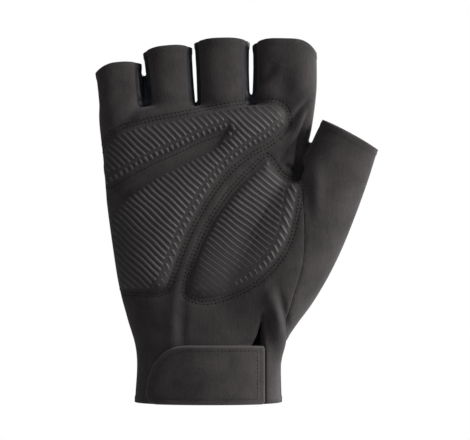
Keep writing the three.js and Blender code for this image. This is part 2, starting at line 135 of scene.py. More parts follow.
# Fillets where the hand's parts meet. The thumb's grows down the hand between two shares of height.
FORK_FILLET, FINGER_FILLET, WEB_FILLET = 5.5 * MM, 3 * MM, 2.4 * MM
THUMB_FILLET, THUMB_FILLET_GROWTH, THUMB_FILLET_REACH = 0.9 * MM, 6.1 * MM, (0.62, 0.84)

# Where the side seam runs: behind the hand's middle by a share of its depth, at shares of height.
SIDE_SEAM_COLUMNS = ("height", "behind")
SIDE_SEAM = ((-0.2, -0.03), (0.2, -0.03), (0.4, 0.13), (0.6, 0.09), (0.9, 0.05), (1.6, 0.06))

# Outlines below are x and z, as shares of the palm's width and height.
THUMB_EDGE_ON_PALM = (
    (0.36, 0.19), (0.36, 0.26), (0.39, 0.35), (0.435, 0.47), (0.44, 0.62), (0.42, 0.78),
)
THUMB_EDGE_ON_BACK = (
    (0.346, 0.105), (0.322, 0.17), (0.33, 0.26), (0.375, 0.36), (0.4, 0.47), (0.412, 0.62),
    (0.412, 0.76),
)
THUMB_FORK = ((0.466, 0.85), (0.49, 0.9))

# The pads, each as the sides of its outline from corner to corner. A side says whether the dashes
# of the grip print run along it.
PALM_PAD = (
    ("plain", ((-0.4, 0.377), (-0.425, 0.45), (-0.447, 0.54), (-0.455, 0.617))),
    ("plain", (
        (-0.455, 0.617), (-0.357, 0.69), (-0.26, 0.738), (-0.15, 0.78), (-0.045, 0.817),
        (0.04, 0.852), (0.088, 0.902),
    )),
    ("dashes", (
        (0.088, 0.902), (-0.02, 0.876), (-0.15, 0.833), (-0.27, 0.795), (-0.385, 0.75),
        (-0.472, 0.712),
    )),
    ("plain", (
        (-0.472, 0.712), (-0.487, 0.79), (-0.46, 0.86), (-0.4, 0.897), (-0.26, 0.923),
        (-0.1, 0.945), (0.1, 0.973), (0.27, 0.987), (0.345, 0.972), (0.362, 0.922),
    )),
    ("dashes", (
        (0.362, 0.922), (0.28, 0.872), (0.187, 0.833), (0.104, 0.787), (0.033, 0.729),
        (-0.033, 0.656), (-0.095, 0.574), (-0.145, 0.486), (-0.19, 0.398), (-0.228, 0.375),
    )),
    ("plain", ((-0.228, 0.375), (-0.4, 0.377))),
)
THUMB_PAD = (
    ("plain", (
        (0.272, 0.807), (0.14, 0.711), (0.066, 0.642), (0.006, 0.57), (-0.043, 0.492),
        (-0.08, 0.413), (-0.09, 0.366),
    )),
    ("plain", ((-0.09, 0.366), (-0.03, 0.35), (0.055, 0.358), (0.15, 0.384))),
    ("dashes", (
        (0.15, 0.384), (0.236, 0.423), (0.308, 0.475), (0.357, 0.535), (0.386, 0.604),
        (0.404, 0.673), (0.417, 0.724),
    )),
    ("plain", ((0.417, 0.724), (0.338, 0.742), (0.272, 0.807))),
)

# Soft folds in the palm's fabric: three points that shape a curve, in shares of the palm's width and
# height, its half width and its height, both in millimetres. A negative height is a crease, which
# is also darkened with painted shade.
FOLDS = (
    ((-0.165, 0.16), (-0.17, 0.27), (-0.14, 0.41), 2.6, 0.9),
    ((-0.115, 0.17), (-0.125, 0.27), (-0.105, 0.36), 2.0, -0.6),
    ((-0.28, 0.18), (-0.30, 0.27), (-0.33, 0.36), 3.0, -0.9),
    ((-0.36, 0.93), (-0.26, 0.96), (-0.13, 1.01), 2.4, 1.0),
    ((-0.47, 0.92), (-0.43, 0.97), (-0.34, 1.01), 2.6, 0.9),
    ((-0.40, 0.93), (-0.33, 0.97), (-0.28, 1.02), 1.8, -0.8),
    ((0.02, 0.99), (0.08, 1.01), (0.13, 1.05), 2.4, 0.6),
    ((0.49, 1.01), (0.40, 0.935), (0.335, 0.88), 2.0, -2.6),
    ((0.475, 0.97), (0.43, 0.865), (0.395, 0.78), 1.2, -2.1),
    ((0.46, 0.97), (0.405, 0.89), (0.355, 0.82), 1.3, 1.0),
    ((0.445, 0.9), (0.38, 0.842), (0.32, 0.79), 1.3, -1.8),
    ((0.43, 0.80), (0.41, 0.765), (0.395, 0.735), 1.5, -4.0),
    ((0.45, 0.84), (0.36, 0.835), (0.2, 0.79), 6.0, -1.1),
    ((0.425, 0.85), (0.40, 0.805), (0.375, 0.77), 0.9, 0.9),
    ((0.42, 0.775), (0.385, 0.775), (0.35, 0.79), 1.0, -1.6),
    ((0.30, 1.17), (0.34, 1.05), (0.33, 0.95), 8.0, -0.8),
    ((-0.37, 1.07), (-0.40, 0.98), (-0.42, 0.90), 6.0, -0.6),
    ((0.31, 1.13), (0.275, 1.075), (0.2, 1.05), 2.4, -1.1),
    ((0.36, 1.12), (0.385, 0.99), (0.385, 0.87), 6.5, -1.7),
    ((0.42, 1.08), (0.40, 1.02), (0.34, 0.98), 3.2, 0.7),
    ((0.44, 0.76), (0.46, 0.69), (0.455, 0.6), 2.4, -0.9),
    ((0.50, 0.80), (0.50, 0.72), (0.50, 0.62), 2.6, 0.9),
    ((0.285, 0.34), (0.325, 0.27), (0.325, 0.12), 3.2, 2.0),
    ((0.27, 0.39), (0.30, 0.33), (0.34, 0.25), 3.0, 1.4),
    ((0.25, 0.2), (0.27, 0.26), (0.285, 0.32), 2.4, -1.3),
    ((0.12, 0.195), (0.18, 0.197), (0.25, 0.21), 1.5, -0.8),
    ((0.325, 0.38), (0.345, 0.31), (0.372, 0.23), 1.7, -1.3),
)

# The same on the back of the hand, below the fingers.
BACK_FOLDS = (
    ((0.06, 1.0), (0.05, 0.9), (0.03, 0.74), 5.0, 0.7),
    ((-0.14, 0.98), (-0.12, 0.88), (-0.09, 0.72), 4.5, 0.6),
    ((0.30, 1.02), (0.27, 0.9), (0.2, 0.72), 6.0, 0.7),
    ((-0.33, 0.93), (-0.28, 0.84), (-0.22, 0.72), 4.0, 0.5),
    ((0.44, 0.86), (0.40, 0.80), (0.34, 0.80), 2.2, -0.9),
    ((-0.26, 0.1), (-0.1, 0.14), (0.1, 0.1), 3.0, 0.4),
)

# Where the palm's side passes over to the back's, as two values of y: for the thumb's seam, the
# webs, the palm's relief, the painted shade in its creases, the back's relief and the strip beside
# the slit.
THUMB_SEAM_TURN, WEB_TURN = (-4 * MM, 6 * MM), (-4 * MM, 3 * MM)
PALM_RELIEF_TURN, CREASES_PAINTED_SHADE_TURN = (-6 * MM, 1 * MM), (-2 * MM, 4 * MM)
BACK_RELIEF_TURN, STRIP_TURN = (0, 6 * MM), (-14 * MM, -4 * MM)

# How far the fabric waves in and out.
RIPPLE_HEIGHT = 0.16 * MM

# How deep and wide seams dip, how wide they darken the fabric, and how far below a finger's edge its
# hem is sewn.
SEAM_DEPTH, SEAM_WIDTH, SEAM_SHADE_WIDTH = 0.6 * MM, 0.8 * MM, 0.7 * MM
HEM_LINE, HEM_LINE_WIDTH = 2.9 * MM, 0.4 * MM

# How thick each pad's ribs and the dashes are, as shares of the rib's width: across the palm (0) or
# up it (1), the least, and how much is gained between two shares of the palm. Then how much longer
# each pad's dashes are.
RIB_FADES = ((0, 0.84, 0.16, -0.46, -0.30), (1, 0.695, 0.305, 0.42, 0.64))
DASH_FADE = (1, 0.82, 0.23, 0.425, 0.49)
DASH_LENGTHENING = (1.0, 1.2)

# How far through a wall the points of its rounded rim lie.
RIM_SHARES = (0.2, 0.5, 0.8)

# How far off a pad's outline its two rows of stitches run, and how far inside the tab's its own.
PAD_ROWS = (1.3 * MM, 2.8 * MM)
TAB_ROW = 2 * MM


def eased(start, end, leaving, arriving, t):
    """A smooth curve between two values, leaving the first and arriving at the second at slopes."""
    return (
        start * (1 + 2 * t) * (1 - t) ** 2 + leaving * t * (1 - t) ** 2
        + end * t**2 * (3 - 2 * t) + arriving * t**2 * (t - 1)
    )


def smooth_columns(names, rows, count=200):
    """A table's columns at evenly spread places along its first one, joined by smooth curves."""
    table = np.array(rows, float)
    place = table[:, 0]
    slope = np.gradient(table, place, axis=0)
    at = np.linspace(place[0], place[-1], count)
    left = np.clip(np.searchsorted(place, at, side="right") - 1, 0, len(place) - 2)
    span = (place[left + 1] - place[left])[:, None]
    t = (at[:, None] - place[left][:, None]) / span
    value = eased(table[left], table[left + 1], slope[left] * span, slope[left + 1] * span, t)
    return dict(zip(names, value.T))


def smooth_min(a, b, radius):
    """The smaller of two distances, with a fillet of that radius where they meet."""
    share = np.maximum(radius - np.abs(a - b), 0) / radius
    return np.minimum(a, b) - share**2 * radius / 4


def smooth_step(value, low, high):
    """0 below low, 1 above high and smooth between them."""
    t = np.clip((value - low) / (high - low), 0, 1)
    return t * t * (3 - 2 * t)


def bell(value, width):
    """1 at zero, falling off smoothly over a width on both sides."""
    return np.exp(-((value / width) ** 2))


def slopes(field, points, reach=0.05 * MM):
    """How fast a field grows at points along x, y and z."""
    steps = np.eye(3) * reach
    return np.stack([field(points + s) - field(points - s) for s in steps], 1) / (2 * reach)


class Tube:
    """A tube of rounded sections along a straight axis: the hand, the thumb or a finger."""

    def __init__(self, foot, tip, across, place, left, right, palm, back, squareness):
        self.foot = np.array(foot, float)
        self.length = np.linalg.norm(np.subtract(tip, foot))
        self.axis = np.subtract(tip, foot) / self.length
        self.across = np.array(across, float)
        self.behind = np.cross(self.axis, self.across)
        self.place = place
        self.left, self.right, self.palm, self.back = left, right, palm, back
        self.squareness = squareness

    def section(self, points):
        """How far along the tube points lie, and how far across it in shares of its section."""
        offset = points - self.foot
        along, u, v = offset @ self.axis, offset @ self.across, offset @ self.behind
        share = along / self.length
        a = np.interp(share, self.place, self.right)
        a = np.where(u > 0, a, np.interp(share, self.place, self.left))
        b = np.interp(share, self.place, self.back)
        b = np.where(v > 0, b, np.interp(share, self.place, self.palm))
        return along, u, v, a, b, np.interp(share, self.place, self.squareness)

    def distance(self, points):
        """About how far points lie outside the tube, negative inside it. It has no far end."""
        along, u, v, a, b, n = self.section(points)
        u, v = np.abs(u) + 1e-7, np.abs(v) + 1e-7
        pu, pv = (u / a) ** n, (v / b) ** n
        size = (pu + pv) ** (1 / n)
        slope = np.hypot(pu / u, pv / v) * size / (pu + pv)
        return np.maximum((size - 1) / slope, -along)


class Form:
    """The filled-out shape that the glove's fabric follows, from the panel's sizes."""

    def __init__(self, sizes):
        self.width, self.height, self.depth = sizes.palm_width, sizes.palm_height, sizes.hand_depth
        self.sizes = sizes
        hand = smooth_columns(HAND_COLUMNS, HAND_SECTIONS)
        self.hand = Tube(
            (0, 0, -HAND_START), (0, 0, self.height), (1, 0, 0),
            (hand["height"] * self.height + HAND_START) / (self.height + HAND_START),
            hand["little_side"] * self.width, hand["thumb_side"] * self.width,
            hand["palm"] * self.depth, hand["back"] * self.depth, hand["squareness"],
        )
        self.fingers = [self.finger(row) for row in FINGERS]
        self.hems = [dict(zip(FINGER_COLUMNS, row)) for row in FINGERS]
        self.thumb = self.make_thumb()
        seam = smooth_columns(SIDE_SEAM_COLUMNS, SIDE_SEAM)
        self.seam_height = seam["height"] * self.height
        self.seam_behind = seam["behind"] * self.depth
        self.pads = [
            [(kind, curved(self.placed(side))) for kind, side in pad] for pad in (PALM_PAD, THUMB_PAD)
        ]
        self.pad_outlines = [np.vstack([line for _, line in sides]) for sides in self.pads]

    def finger(self, row):
        """A finger's tube from its row of the table."""
        named = dict(zip(FINGER_COLUMNS, row))
        girth = smooth_columns(GIRTH_COLUMNS, FINGER_GIRTH)
        top = self.height + named["reach"] * self.sizes.finger_length
        foot = (named["foot"] * self.width, 0, FINGER_ROOT * self.height)
        tip = (named["tip"] * self.width, 0, top)
        lean = math.atan2(tip[0] - foot[0], tip[2] - foot[2])
        half_width = girth["girth"] * named["width"] * self.width / 2
        half_depth = girth["girth"] * named["depth"] * self.depth / 2
        thumb_side = half_width
        if row == FINGERS[-1]:
            thumb_side = half_width * (1 + smooth_columns(SWELL_COLUMNS, INDEX_SWELL)["swell"])
        return Tube(
            foot, tip, (math.cos(lean), 0, -math.sin(lean)), girth["along"],
            half_width, thumb_side, half_depth, half_depth,
            np.full(len(half_width), FINGER_SQUARENESS),
        )

    def make_thumb(self):
        """The tube of the thumb and its muscle."""
        rows = smooth_columns(THUMB_COLUMNS, THUMB_SECTIONS)
        lean = self.sizes.thumb_lean
        foot = np.array((THUMB_FOOT[0] * self.width, 0, THUMB_FOOT[1] * self.height))
        tip = foot + np.array((math.sin(lean), 0, math.cos(lean))) * self.sizes.thumb_length
        tip[1] = -self.sizes.thumb_forward
        return Tube(
            foot, tip, (math.cos(lean), 0, -math.sin(lean)), rows["along"],
            rows["inner"] * self.width, rows["outer"] * self.width,
            rows["palm"] * self.depth, rows["back"] * self.depth,
            np.full(len(rows["along"]), THUMB_SQUARENESS),
        )

    def placed(self, outline):
        """An outline's points in metres."""
        return np.array(outline, float) * (self.width, self.height)

    def distance(self, points):
        """About how far points lie outside the glove's outer surface."""
        low, high = THUMB_FILLET_REACH
        growth = 1 - smooth_step(points[:, 2], low * self.height, high * self.height)
        thumb_fillet = THUMB_FILLET + THUMB_FILLET_GROWTH * growth
        fork = points[:, 2] - self.height + FORK_DROP
        hand = -smooth_min(-self.hand.distance(points), -fork, FORK_FILLET)
        whole = smooth_min(hand, self.thumb.distance(points), thumb_fillet)
        result = np.full(len(points), np.inf)
        for finger in self.fingers:
            result = np.minimum(result, smooth_min(whole, finger.distance(points), FINGER_FILLET))
        for pair, reach in enumerate(WEBS):
            result = smooth_min(result, self.web_distance(pair, reach, points), WEB_FILLET)
        return result

    def web_distance(self, pair, reach, points):
        """The distance to the fabric that closes a gap between two fingers."""
        x, y, z = points.T
        left, right = self.fingers[pair], self.fingers[pair + 1]
        middle = (finger_middle(left, z) + finger_middle(right, z)) / 2
        share = smooth_step(y, *WEB_TURN)
        top = self.height + self.sizes.finger_length * (reach[0] * (1 - share) + reach[1] * share)
        sag, half_width, half_depth, foot = 220, 3 * MM, 0.1 * self.depth, self.height - 8 * MM
        top += sag * (x - middle) ** 2
        return np.maximum.reduce([
            np.abs(x - middle) - half_width, z - top, np.abs(y) - half_depth, foot - z
        ])

    def settle(self, points, rounds=2):
        """Points moved onto the surface, with its outward directions there."""
        for _ in range(rounds):
            slope = slopes(self.distance, points)
            points = points - slope * (self.distance(points) / (slope**2).sum(1))[:, None]
        slope = slopes(self.distance, points)
        return points, slope / np.linalg.norm(slope, axis=1)[:, None]


def curved(points, per_span=8):
    """A smooth curve through 2-D points."""
    if len(points) < 3:
        return points
    at = np.arange(len(points))
    slope = np.gradient(points, at, axis=0)
    t = (np.arange(per_span) / per_span)[:, None]
    spans = zip(points[:-1], points[1:], slope[:-1], slope[1:])
    return np.vstack([*(eased(*span, t) for span in spans), points[-1:]])


def line_distance(flat, line):
    """The distance of 2-D points to a line of points, and the share of its length nearest them."""
    best = np.full(len(flat), np.inf)
    where = np.zeros(len(flat))
    spans = np.linalg.norm(np.diff(line, axis=0), axis=1)
    travelled = np.concatenate([[0], np.cumsum(spans)])
    for start, end, span, gone in zip(line[:-1], line[1:], spans, travelled):
        if span < 1e-9:
            continue
        t = np.clip((flat - start) @ (end - start) / span**2, 0, 1)
        gap = np.linalg.norm(flat - start - t[:, None] * (end - start), axis=1)
        nearer = gap < best
        best = np.where(nearer, gap, best)
        where = np.where(nearer, (gone + t * span) / travelled[-1], where)
    return best, where


def outline_distance(flat, outline):
    """The distance of 2-D points to a closed outline, negative inside it."""
    closed = np.vstack([outline, outline[:1]])
    gap, _ = line_distance(flat, closed)
    inside = np.zeros(len(flat), bool)
    for (x0, z0), (x1, z1) in zip(closed[:-1], closed[1:]):
        if z0 == z1:
            continue
        spans = (z0 > flat[:, 1]) != (z1 > flat[:, 1])
        inside ^= spans & (flat[:, 0] < (x1 - x0) * (flat[:, 1] - z0) / (z1 - z0) + x0)
    return np.where(inside, -gap, gap)


def surface_net(distance, low, high, step):
    """A fine mesh of quads where a distance is zero, inside a box."""
    counts = np.ceil((np.subtract(high, low)) / step).astype(int) + 1
    axes = [low[i] + step * np.arange(counts[i]) for i in range(3)]
    grid = np.stack(np.meshgrid(*axes, indexing="ij"), -1)
    value = distance(grid.reshape(-1, 3)).reshape(counts)
    cells = tuple(counts - 1)
    total = np.zeros(cells + (3,))
    hits = np.zeros(cells)
    index = np.stack(np.meshgrid(*[np.arange(n) for n in counts], indexing="ij"), -1).astype(float)
    crossings = []
    for axis in range(3):
        near = [slice(None)] * 3
        far = [slice(None)] * 3
        near[axis], far[axis] = slice(0, -1), slice(1, None)
        a, b = value[tuple(near)], value[tuple(far)]
        cross = (a < 0) != (b < 0)
        place = index[tuple(near)].copy()
        place[..., axis] += np.where(cross, a / np.where(cross, a - b, 1), 0)
        u, v = [k for k in range(3) if k != axis]
        for du in (0, 1):
            for dv in (0, 1):
                part = [slice(None)] * 3
                part[u] = slice(du, du + cells[u])
                part[v] = slice(dv, dv + cells[v])
                used = cross[tuple(part)]
                total += place[tuple(part)] * used[..., None]
                hits += used
        crossings.append((cross, a < 0))
    used = hits > 0
    number = np.full(cells, -1)
    number[used] = np.arange(used.sum())
    points = np.array(low) + step * total[used] / hits[used][:, None]
    quads = []
    for axis, (cross, rising) in enumerate(crossings):
        u, v = (axis + 1) % 3, (axis + 2) % 3
        at = np.argwhere(cross)
        inner = np.ones(len(at), bool)
        for k in (u, v):
            inner &= (at[:, k] > 0) & (at[:, k] < counts[k] - 1)
        at = at[inner]
        ring = []
        for du, dv in ((-1, -1), (0, -1), (0, 0), (-1, 0)):
            cell = at.copy()
            cell[:, u] += du
            cell[:, v] += dv
            ring.append(number[tuple(cell.T)])
        quad = np.stack(ring, 1)
        up = rising[tuple(at.T)]
        quads.append(np.where(up[:, None], quad, quad[:, ::-1]))
    return points, np.vstack(quads)


def as_triangles(points, quads):
    """Quads cut along their shorter diagonal."""
    p = points[quads]
    short = np.linalg.norm(p[:, 0] - p[:, 2], axis=1) < np.linalg.norm(p[:, 1] - p[:, 3], axis=1)
    a, b, c, d = quads.T
    first = np.where(short[:, None], np.stack([a, b, c], 1), np.stack([a, b, d], 1))
    second = np.where(short[:, None], np.stack([a, c, d], 1), np.stack([b, c, d], 1))
    return np.vstack([first, second])


def welded(points, faces, reach=COINCIDE):
    """Points that coincide joined, with faces that collapse left out and unused points dropped."""
    _, first, same = np.unique(
        np.round(points / reach).astype(np.int64), axis=0, return_index=True, return_inverse=True
    )
    points, faces = points[first], same.reshape(-1)[faces]
    whole = (faces[:, 0] != faces[:, 1]) & (faces[:, 1] != faces[:, 2]) & (faces[:, 0] != faces[:, 2])
    faces = faces[whole]
    kept, faces = np.unique(faces, return_inverse=True)
    return points[kept], faces.reshape(-1, 3)


def clipped(points, faces, value):
    """The part of a triangle mesh where value is negative, cut cleanly along zero."""
    negative = value < 0
    count = negative[faces].sum(1)
    kept = [faces[count == 3]]
    cut = faces[(count == 1) | (count == 2)]
    odd = np.where(negative[cut].sum(1)[:, None] == 1, negative[cut], ~negative[cut]).argmax(1)
    rows = np.arange(len(cut))
    a, b, c = (cut[rows, (odd + k) % 3] for k in range(3))
    edges = np.sort(np.concatenate([np.stack([a, b], 1), np.stack([a, c], 1)]), 1)
    edges, which = np.unique(edges, axis=0, return_inverse=True)
    which = which.reshape(-1)
    start, end = value[edges[:, 0]], value[edges[:, 1]]
    t = (start / (start - end))[:, None]
    added = points[edges[:, 0]] * (1 - t) + points[edges[:, 1]] * t
    ab, ac = which[: len(cut)] + len(points), which[len(cut):] + len(points)
    alone = negative[a]
    kept.append(np.stack([a, ab, ac], 1)[alone])
    kept.append(np.stack([b, c, ac], 1)[~alone])
    kept.append(np.stack([b, ac, ab], 1)[~alone])
    return welded(np.vstack([points, added]), np.vstack(kept))


def cut_along(form, points, faces, field, step):
    """The part of the surface where a field is negative. Points close to its edge move onto it."""
    closeness, furthest, least_slope = 0.35, 0.6, 0.05
    value = field(points)
    close = np.abs(value) < closeness * step
    if close.any():
        near = points[close]
        slope = slopes(field, near)
        _, normal = form.settle(near, 0)
        slope -= (slope * normal).sum(1)[:, None] * normal
        size = np.maximum((slope**2).sum(1), least_slope)
        shift = slope * (value[close] / size)[:, None]
        far = np.linalg.norm(shift, axis=1) > furthest * step
        shift[far] = 0
        points = points.copy()
        points[close] = near - shift
        value = field(points)
        value[np.abs(value) < COINCIDE] = 0.0
    return clipped(points, faces, value)


def bezier(start, middle, end, count=10):
    """A curve that starts and ends at two points and leans towards a third."""
    t = np.linspace(0, 1, count)[:, None]
    return (1 - t) ** 2 * np.array(start) + 2 * t * (1 - t) * np.array(middle) + t**2 * np.array(end)


def ripple(points):
    """The small unevenness of fabric that a hand fills, from about -1 to 1."""
    x, y, z = (points / (10 * MM)).T
    slow = np.sin(0.9 * x + 0.5 * z + 1.2 * np.sin(0.45 * z - 0.4 * y))
    quick = np.sin(1.7 * z - 1.1 * x + 1.5 * np.sin(0.8 * x + 0.6 * y))
    return 0.6 * slow + 0.4 * quick


def beside_folds(form, points, folds):
    """Each fold's height and half width, how far points lie from it, and how it fades to its ends."""
    first, last, power = 0.03, 0.97, 0.6
    for start, middle, end, half_width, top in folds:
        line = form.placed(bezier(start, middle, end))
        gap, share = line_distance(points[:, [0, 2]], line)
        yield top, half_width, gap, np.sin(np.pi * np.clip(share, first, last)) ** power


def relief(form, points):
    """How far the fabric stands out of the form, before its seams."""
    channel_place, channel_width, channel_depth = 2 * MM, 1.5 * MM, 0.5 * MM
    on_palm = 1 - smooth_step(points[:, 1], *PALM_RELIEF_TURN)
    on_back = smooth_step(points[:, 1], *BACK_RELIEF_TURN)
    height = RIPPLE_HEIGHT * ripple(points)
    for folds, here in ((FOLDS, on_palm), (BACK_FOLDS, on_back)):
        for top, half_width, gap, fade in beside_folds(form, points, folds):
            height += here * top * MM * fade * bell(gap, half_width * MM)
    for outline in form.pad_outlines:
        gap = outline_distance(points[:, [0, 2]], outline)
        channel = bell(np.maximum(gap, 0) - channel_place, channel_width)
        height -= on_palm * channel_depth * channel
    return height + strip_height(form, points)


def painted_shade_in_creases(form, points):
    """How much painted shade points of the palm side get in the creases and hollows, from 0 to about
    1.
    """
    full_depth, most, narrower = 2.6, 1.3, 0.9
    shade = np.zeros(len(points))
    creases = [fold for fold in FOLDS if fold[-1] < 0]
    for top, half_width, gap, fade in beside_folds(form, points, creases):
        deep = fade * min(-top / full_depth, most) * bell(gap, narrower * half_width * MM)
        shade = np.maximum(shade, deep)
    return shade * (1 - smooth_step(points[:, 1], *CREASES_PAINTED_SHADE_TURN))


def strip_height(form, points):
    """How far the strip beside the wrist slit stands out, where the tab is sewn on."""
    at_slit, below_foot, above_foot, below_top, above_top = (
        0.5 * MM, 0.4 * MM, 0.8 * MM, 4 * MM, 14 * MM
    )
    sizes = form.sizes
    x, y, z = points.T
    foot, top = sizes.cuff_margin, sizes.cuff_margin + sizes.tab_width
    across = smooth_step(x, sizes.slit_x, sizes.slit_x + at_slit)
    across *= 1 - smooth_step(y, *STRIP_TURN)
    along = smooth_step(z, foot - below_foot, foot + above_foot)
    along *= 1 - smooth_step(z, top - below_top, top + above_top)
    return sizes.tab_thickness * across * along


def side_field(form, points):
    """Negative on the palm side of the side seam."""
    return points[:, 1] - np.interp(points[:, 2], form.seam_height, form.seam_behind)


def thumb_field(form, points):
    """Negative in the thumb's panel."""
    far = 0.3
    gaps = []
    for edge in (THUMB_EDGE_ON_PALM, THUMB_EDGE_ON_BACK):
        inside = form.placed((*edge, *THUMB_FORK))
        foot, tip = inside[-2:]
        ahead = tip + (tip - foot) * (far - tip[1]) / (tip[1] - foot[1])
        beyond = [ahead, (far, far), (far, inside[0][1])]
        gaps.append(outline_distance(points[:, [0, 2]], np.vstack([curved(inside), beyond])))
    share = smooth_step(points[:, 1], *THUMB_SEAM_TURN)
    return gaps[0] * (1 - share) + gaps[1] * share


def finger_middle(finger, z):
    """A finger's middle at a height."""
    return finger.foot[0] + (z - finger.foot[2]) * finger.axis[0] / finger.axis[2]


def finger_edge(finger, z, sign):
    """The x of one side of a finger at a height."""
    half = np.interp((z - finger.foot[2]) / finger.length, finger.place, finger.left)
    return finger_middle(finger, z) + sign * half


def gusset_field(form, pair, points):
    """Negative in the strip between two fingers, with its loop on the back of the hand."""
    sizes = form.sizes
    lowest = form.height - 2.6 * MM
    left, right = form.fingers[pair], form.fingers[pair + 1]
    x, y, z = points.T
    start, end = finger_middle(left, z), finger_middle(right, z)
    across = np.abs(x - (start + end) / 2) - (end - start) / 2
    between = np.maximum(np.abs(y) - sizes.gusset_width / 2, across)
    between = np.maximum(between, lowest - z)
    foot = form.height - sizes.gusset_drop + sizes.gusset_loop
    gap_middle = (finger_edge(left, z, 1) + finger_edge(right, z, -1)) / 2
    loop = np.hypot(x - gap_middle, np.minimum(z - foot, 0)) - sizes.gusset_loop
    loop = np.maximum(loop, -y)
    return np.minimum(between, loop)


def hem_field(form, points):
    """How far points lie past the hem of their finger, of the thumb or of the wrist."""
    sizes = form.sizes
    far_inside = -0.02
    result = np.maximum(-points[:, 2], far_inside)
    nearest = np.full(len(points), np.inf)
    past = np.full(len(points), far_inside)
    thumb_hem = {"little_dip": 1, "thumb_dip": 1, "round": 2.5}
    tubes = [(finger, hem, sizes.hem_dip) for finger, hem in zip(form.fingers, form.hems)]
    for tube, hem, dip in [*tubes, (form.thumb, thumb_hem, sizes.thumb_hem_dip)]:
        along, u, _, a, _, _ = tube.section(points)
        drop = dip * np.where(u > 0, hem["thumb_dip"], hem["little_dip"])
        drop *= np.minimum(np.abs(u) / a, 1) ** hem["round"]
        distance = tube.distance(points)
        nearer = distance < nearest
        nearest = np.where(nearer, distance, nearest)
        past = np.where(nearer, along - tube.length + drop, past)
    return np.maximum(result, past)


def slit_field(form, points):
    """Negative in the wrist slit, which stands open under the tab and closes above it."""
    sizes = form.sizes
    left, right = sizes.slit_x - sizes.slit_spread, sizes.slit_x
    top = sizes.cuff_margin + sizes.tab_width
    below = -0.05
    narrowing = ((0.8, 0.7), (0.5, 0.34), (0.2, 0.1), (0, 0))
    edge = [
        (left + share * (right - left), top + rise * (sizes.slit_height - top))
        for share, rise in narrowing
    ]
    outline = np.array([(left, below), (right, below), (right, sizes.slit_height), *edge])
    return np.maximum(outline_distance(points[:, [0, 2]], outline), points[:, 1])


def boundary_edges(faces):
    """The directed edges that only one triangle has."""
    edges = np.vstack([faces[:, [0, 1]], faces[:, [1, 2]], faces[:, [2, 0]]])
    reach = faces.max() + 1
    forward = edges[:, 0].astype(np.int64) * reach + edges[:, 1]
    backward = edges[:, 1].astype(np.int64) * reach + edges[:, 0]
    return edges[~np.isin(forward, backward)]


def closed_wall(outer, inner, faces, normal, bulge):
    """A wall between an outer and an inner surface, with a rounded rim round every border."""
    count = len(outer)
    border = boundary_edges(faces)
    rim, place = np.unique(border, return_inverse=True)
    place = place.reshape(-1, 2)
    away = np.zeros((len(rim), 3))
    run = outer[border[:, 1]] - outer[border[:, 0]]
    out = np.cross(run, normal[border[:, 0]])
    for end in (0, 1):
        np.add.at(away, place[:, end], out)
    away /= np.maximum(np.linalg.norm(away, axis=1), 1e-9)[:, None]
    rings = []
    for share in RIM_SHARES:
        middle = outer[rim] * (1 - share) + inner[rim] * share
        rings.append(middle + away * bulge * math.sin(math.pi * share))
    points = np.vstack([outer, inner, *rings])
    first = 2 * count + len(rim) * np.arange(len(RIM_SHARES))
    numbers = [rim, *[start + np.arange(len(rim)) for start in first], rim + count]
    quads = []
    for near, far in zip(numbers[:-1], numbers[1:]):
        a, b = place.T
        quads.append(np.stack([near[b], near[a], far[a], far[b]], 1))
    return points, np.vstack([faces, faces[:, ::-1] + count]), np.vstack(quads)


def in_scene(name, data):
    """A new object with its data, in the scene."""
    made = bpy.data.objects.new(name, data)
    bpy.context.scene.collection.objects.link(made)
    return made


def walled_piece(name, slot, points, faces, normal, outside, inside, rim):
    """A piece between two heights off a surface, with a rounded rim, in its slot's material."""
    outer = points + normal * outside[:, None]
    inner = points + normal * inside[:, None]
    points, triangles, quads = closed_wall(outer, inner, faces, normal, rim)
    mesh = bpy.data.meshes.new(name)
    corners = np.concatenate([triangles.reshape(-1), quads.reshape(-1)])
    sizes = np.concatenate([np.full(len(triangles), 3), np.full(len(quads), 4)])
    starts = np.concatenate([[0], np.cumsum(sizes)[:-1]])
    mesh.vertices.add(len(points))
    mesh.vertices.foreach_set("co", np.ascontiguousarray(points, np.float32).reshape(-1))
    mesh.loops.add(len(corners))
    mesh.loops.foreach_set("vertex_index", corners.astype(np.int32))
    mesh.polygons.add(len(sizes))
    mesh.polygons.foreach_set("loop_start", starts.astype(np.int32))
    mesh.update(calc_edges=True)
    mesh.validate()
    mesh.shade_smooth()
    mesh.materials.append(material(slot))
    return in_scene(name, mesh)


def keep_values(mesh, label, values):
    """Numbers or vectors kept at a mesh's points, as an attribute."""
    values = np.asarray(values, np.float32)
    kind, field = ("FLOAT", "value") if values.ndim == 1 else ("FLOAT_VECTOR", "vector")
    mesh.attributes.new(label, kind, "POINT").data.foreach_set(field, values.reshape(-1))


def keep_outside_values(piece, label, values):
    """Numbers kept at a walled piece's outer points, with 1 on its rim and 0 inside it."""
    kept = np.zeros(len(piece.data.vertices))
    kept[: len(values)] = values
    kept[2 * len(values):] = 1
    keep_values(piece.data, label, kept)


def quiet_seam(form, points):
    """How much fainter a seam is here: the thumb's, on the palm side, hardly shows."""
    strength, width, palm_side = 0.6, 2.5 * MM, -8 * MM
    near = bell(thumb_field(form, points), width)
    return strength * near * (1 - smooth_step(points[:, 1], palm_side, 0))


def panel_height(form, points, seams):
    """How far a panel stands off the form: its relief, dipped along its seams, and its hem."""
    hem_height, hem_low, hem_high = 0.22 * MM, 2.2 * MM, 3.0 * MM
    height = relief(form, points)
    depth = SEAM_DEPTH * (1 - quiet_seam(form, points))
    for seam in seams:
        height -= depth * bell(seam(points), SEAM_WIDTH)
    hem = -hem_field(form, points)
    return height + hem_height * (1 - smooth_step(hem, hem_low, hem_high))


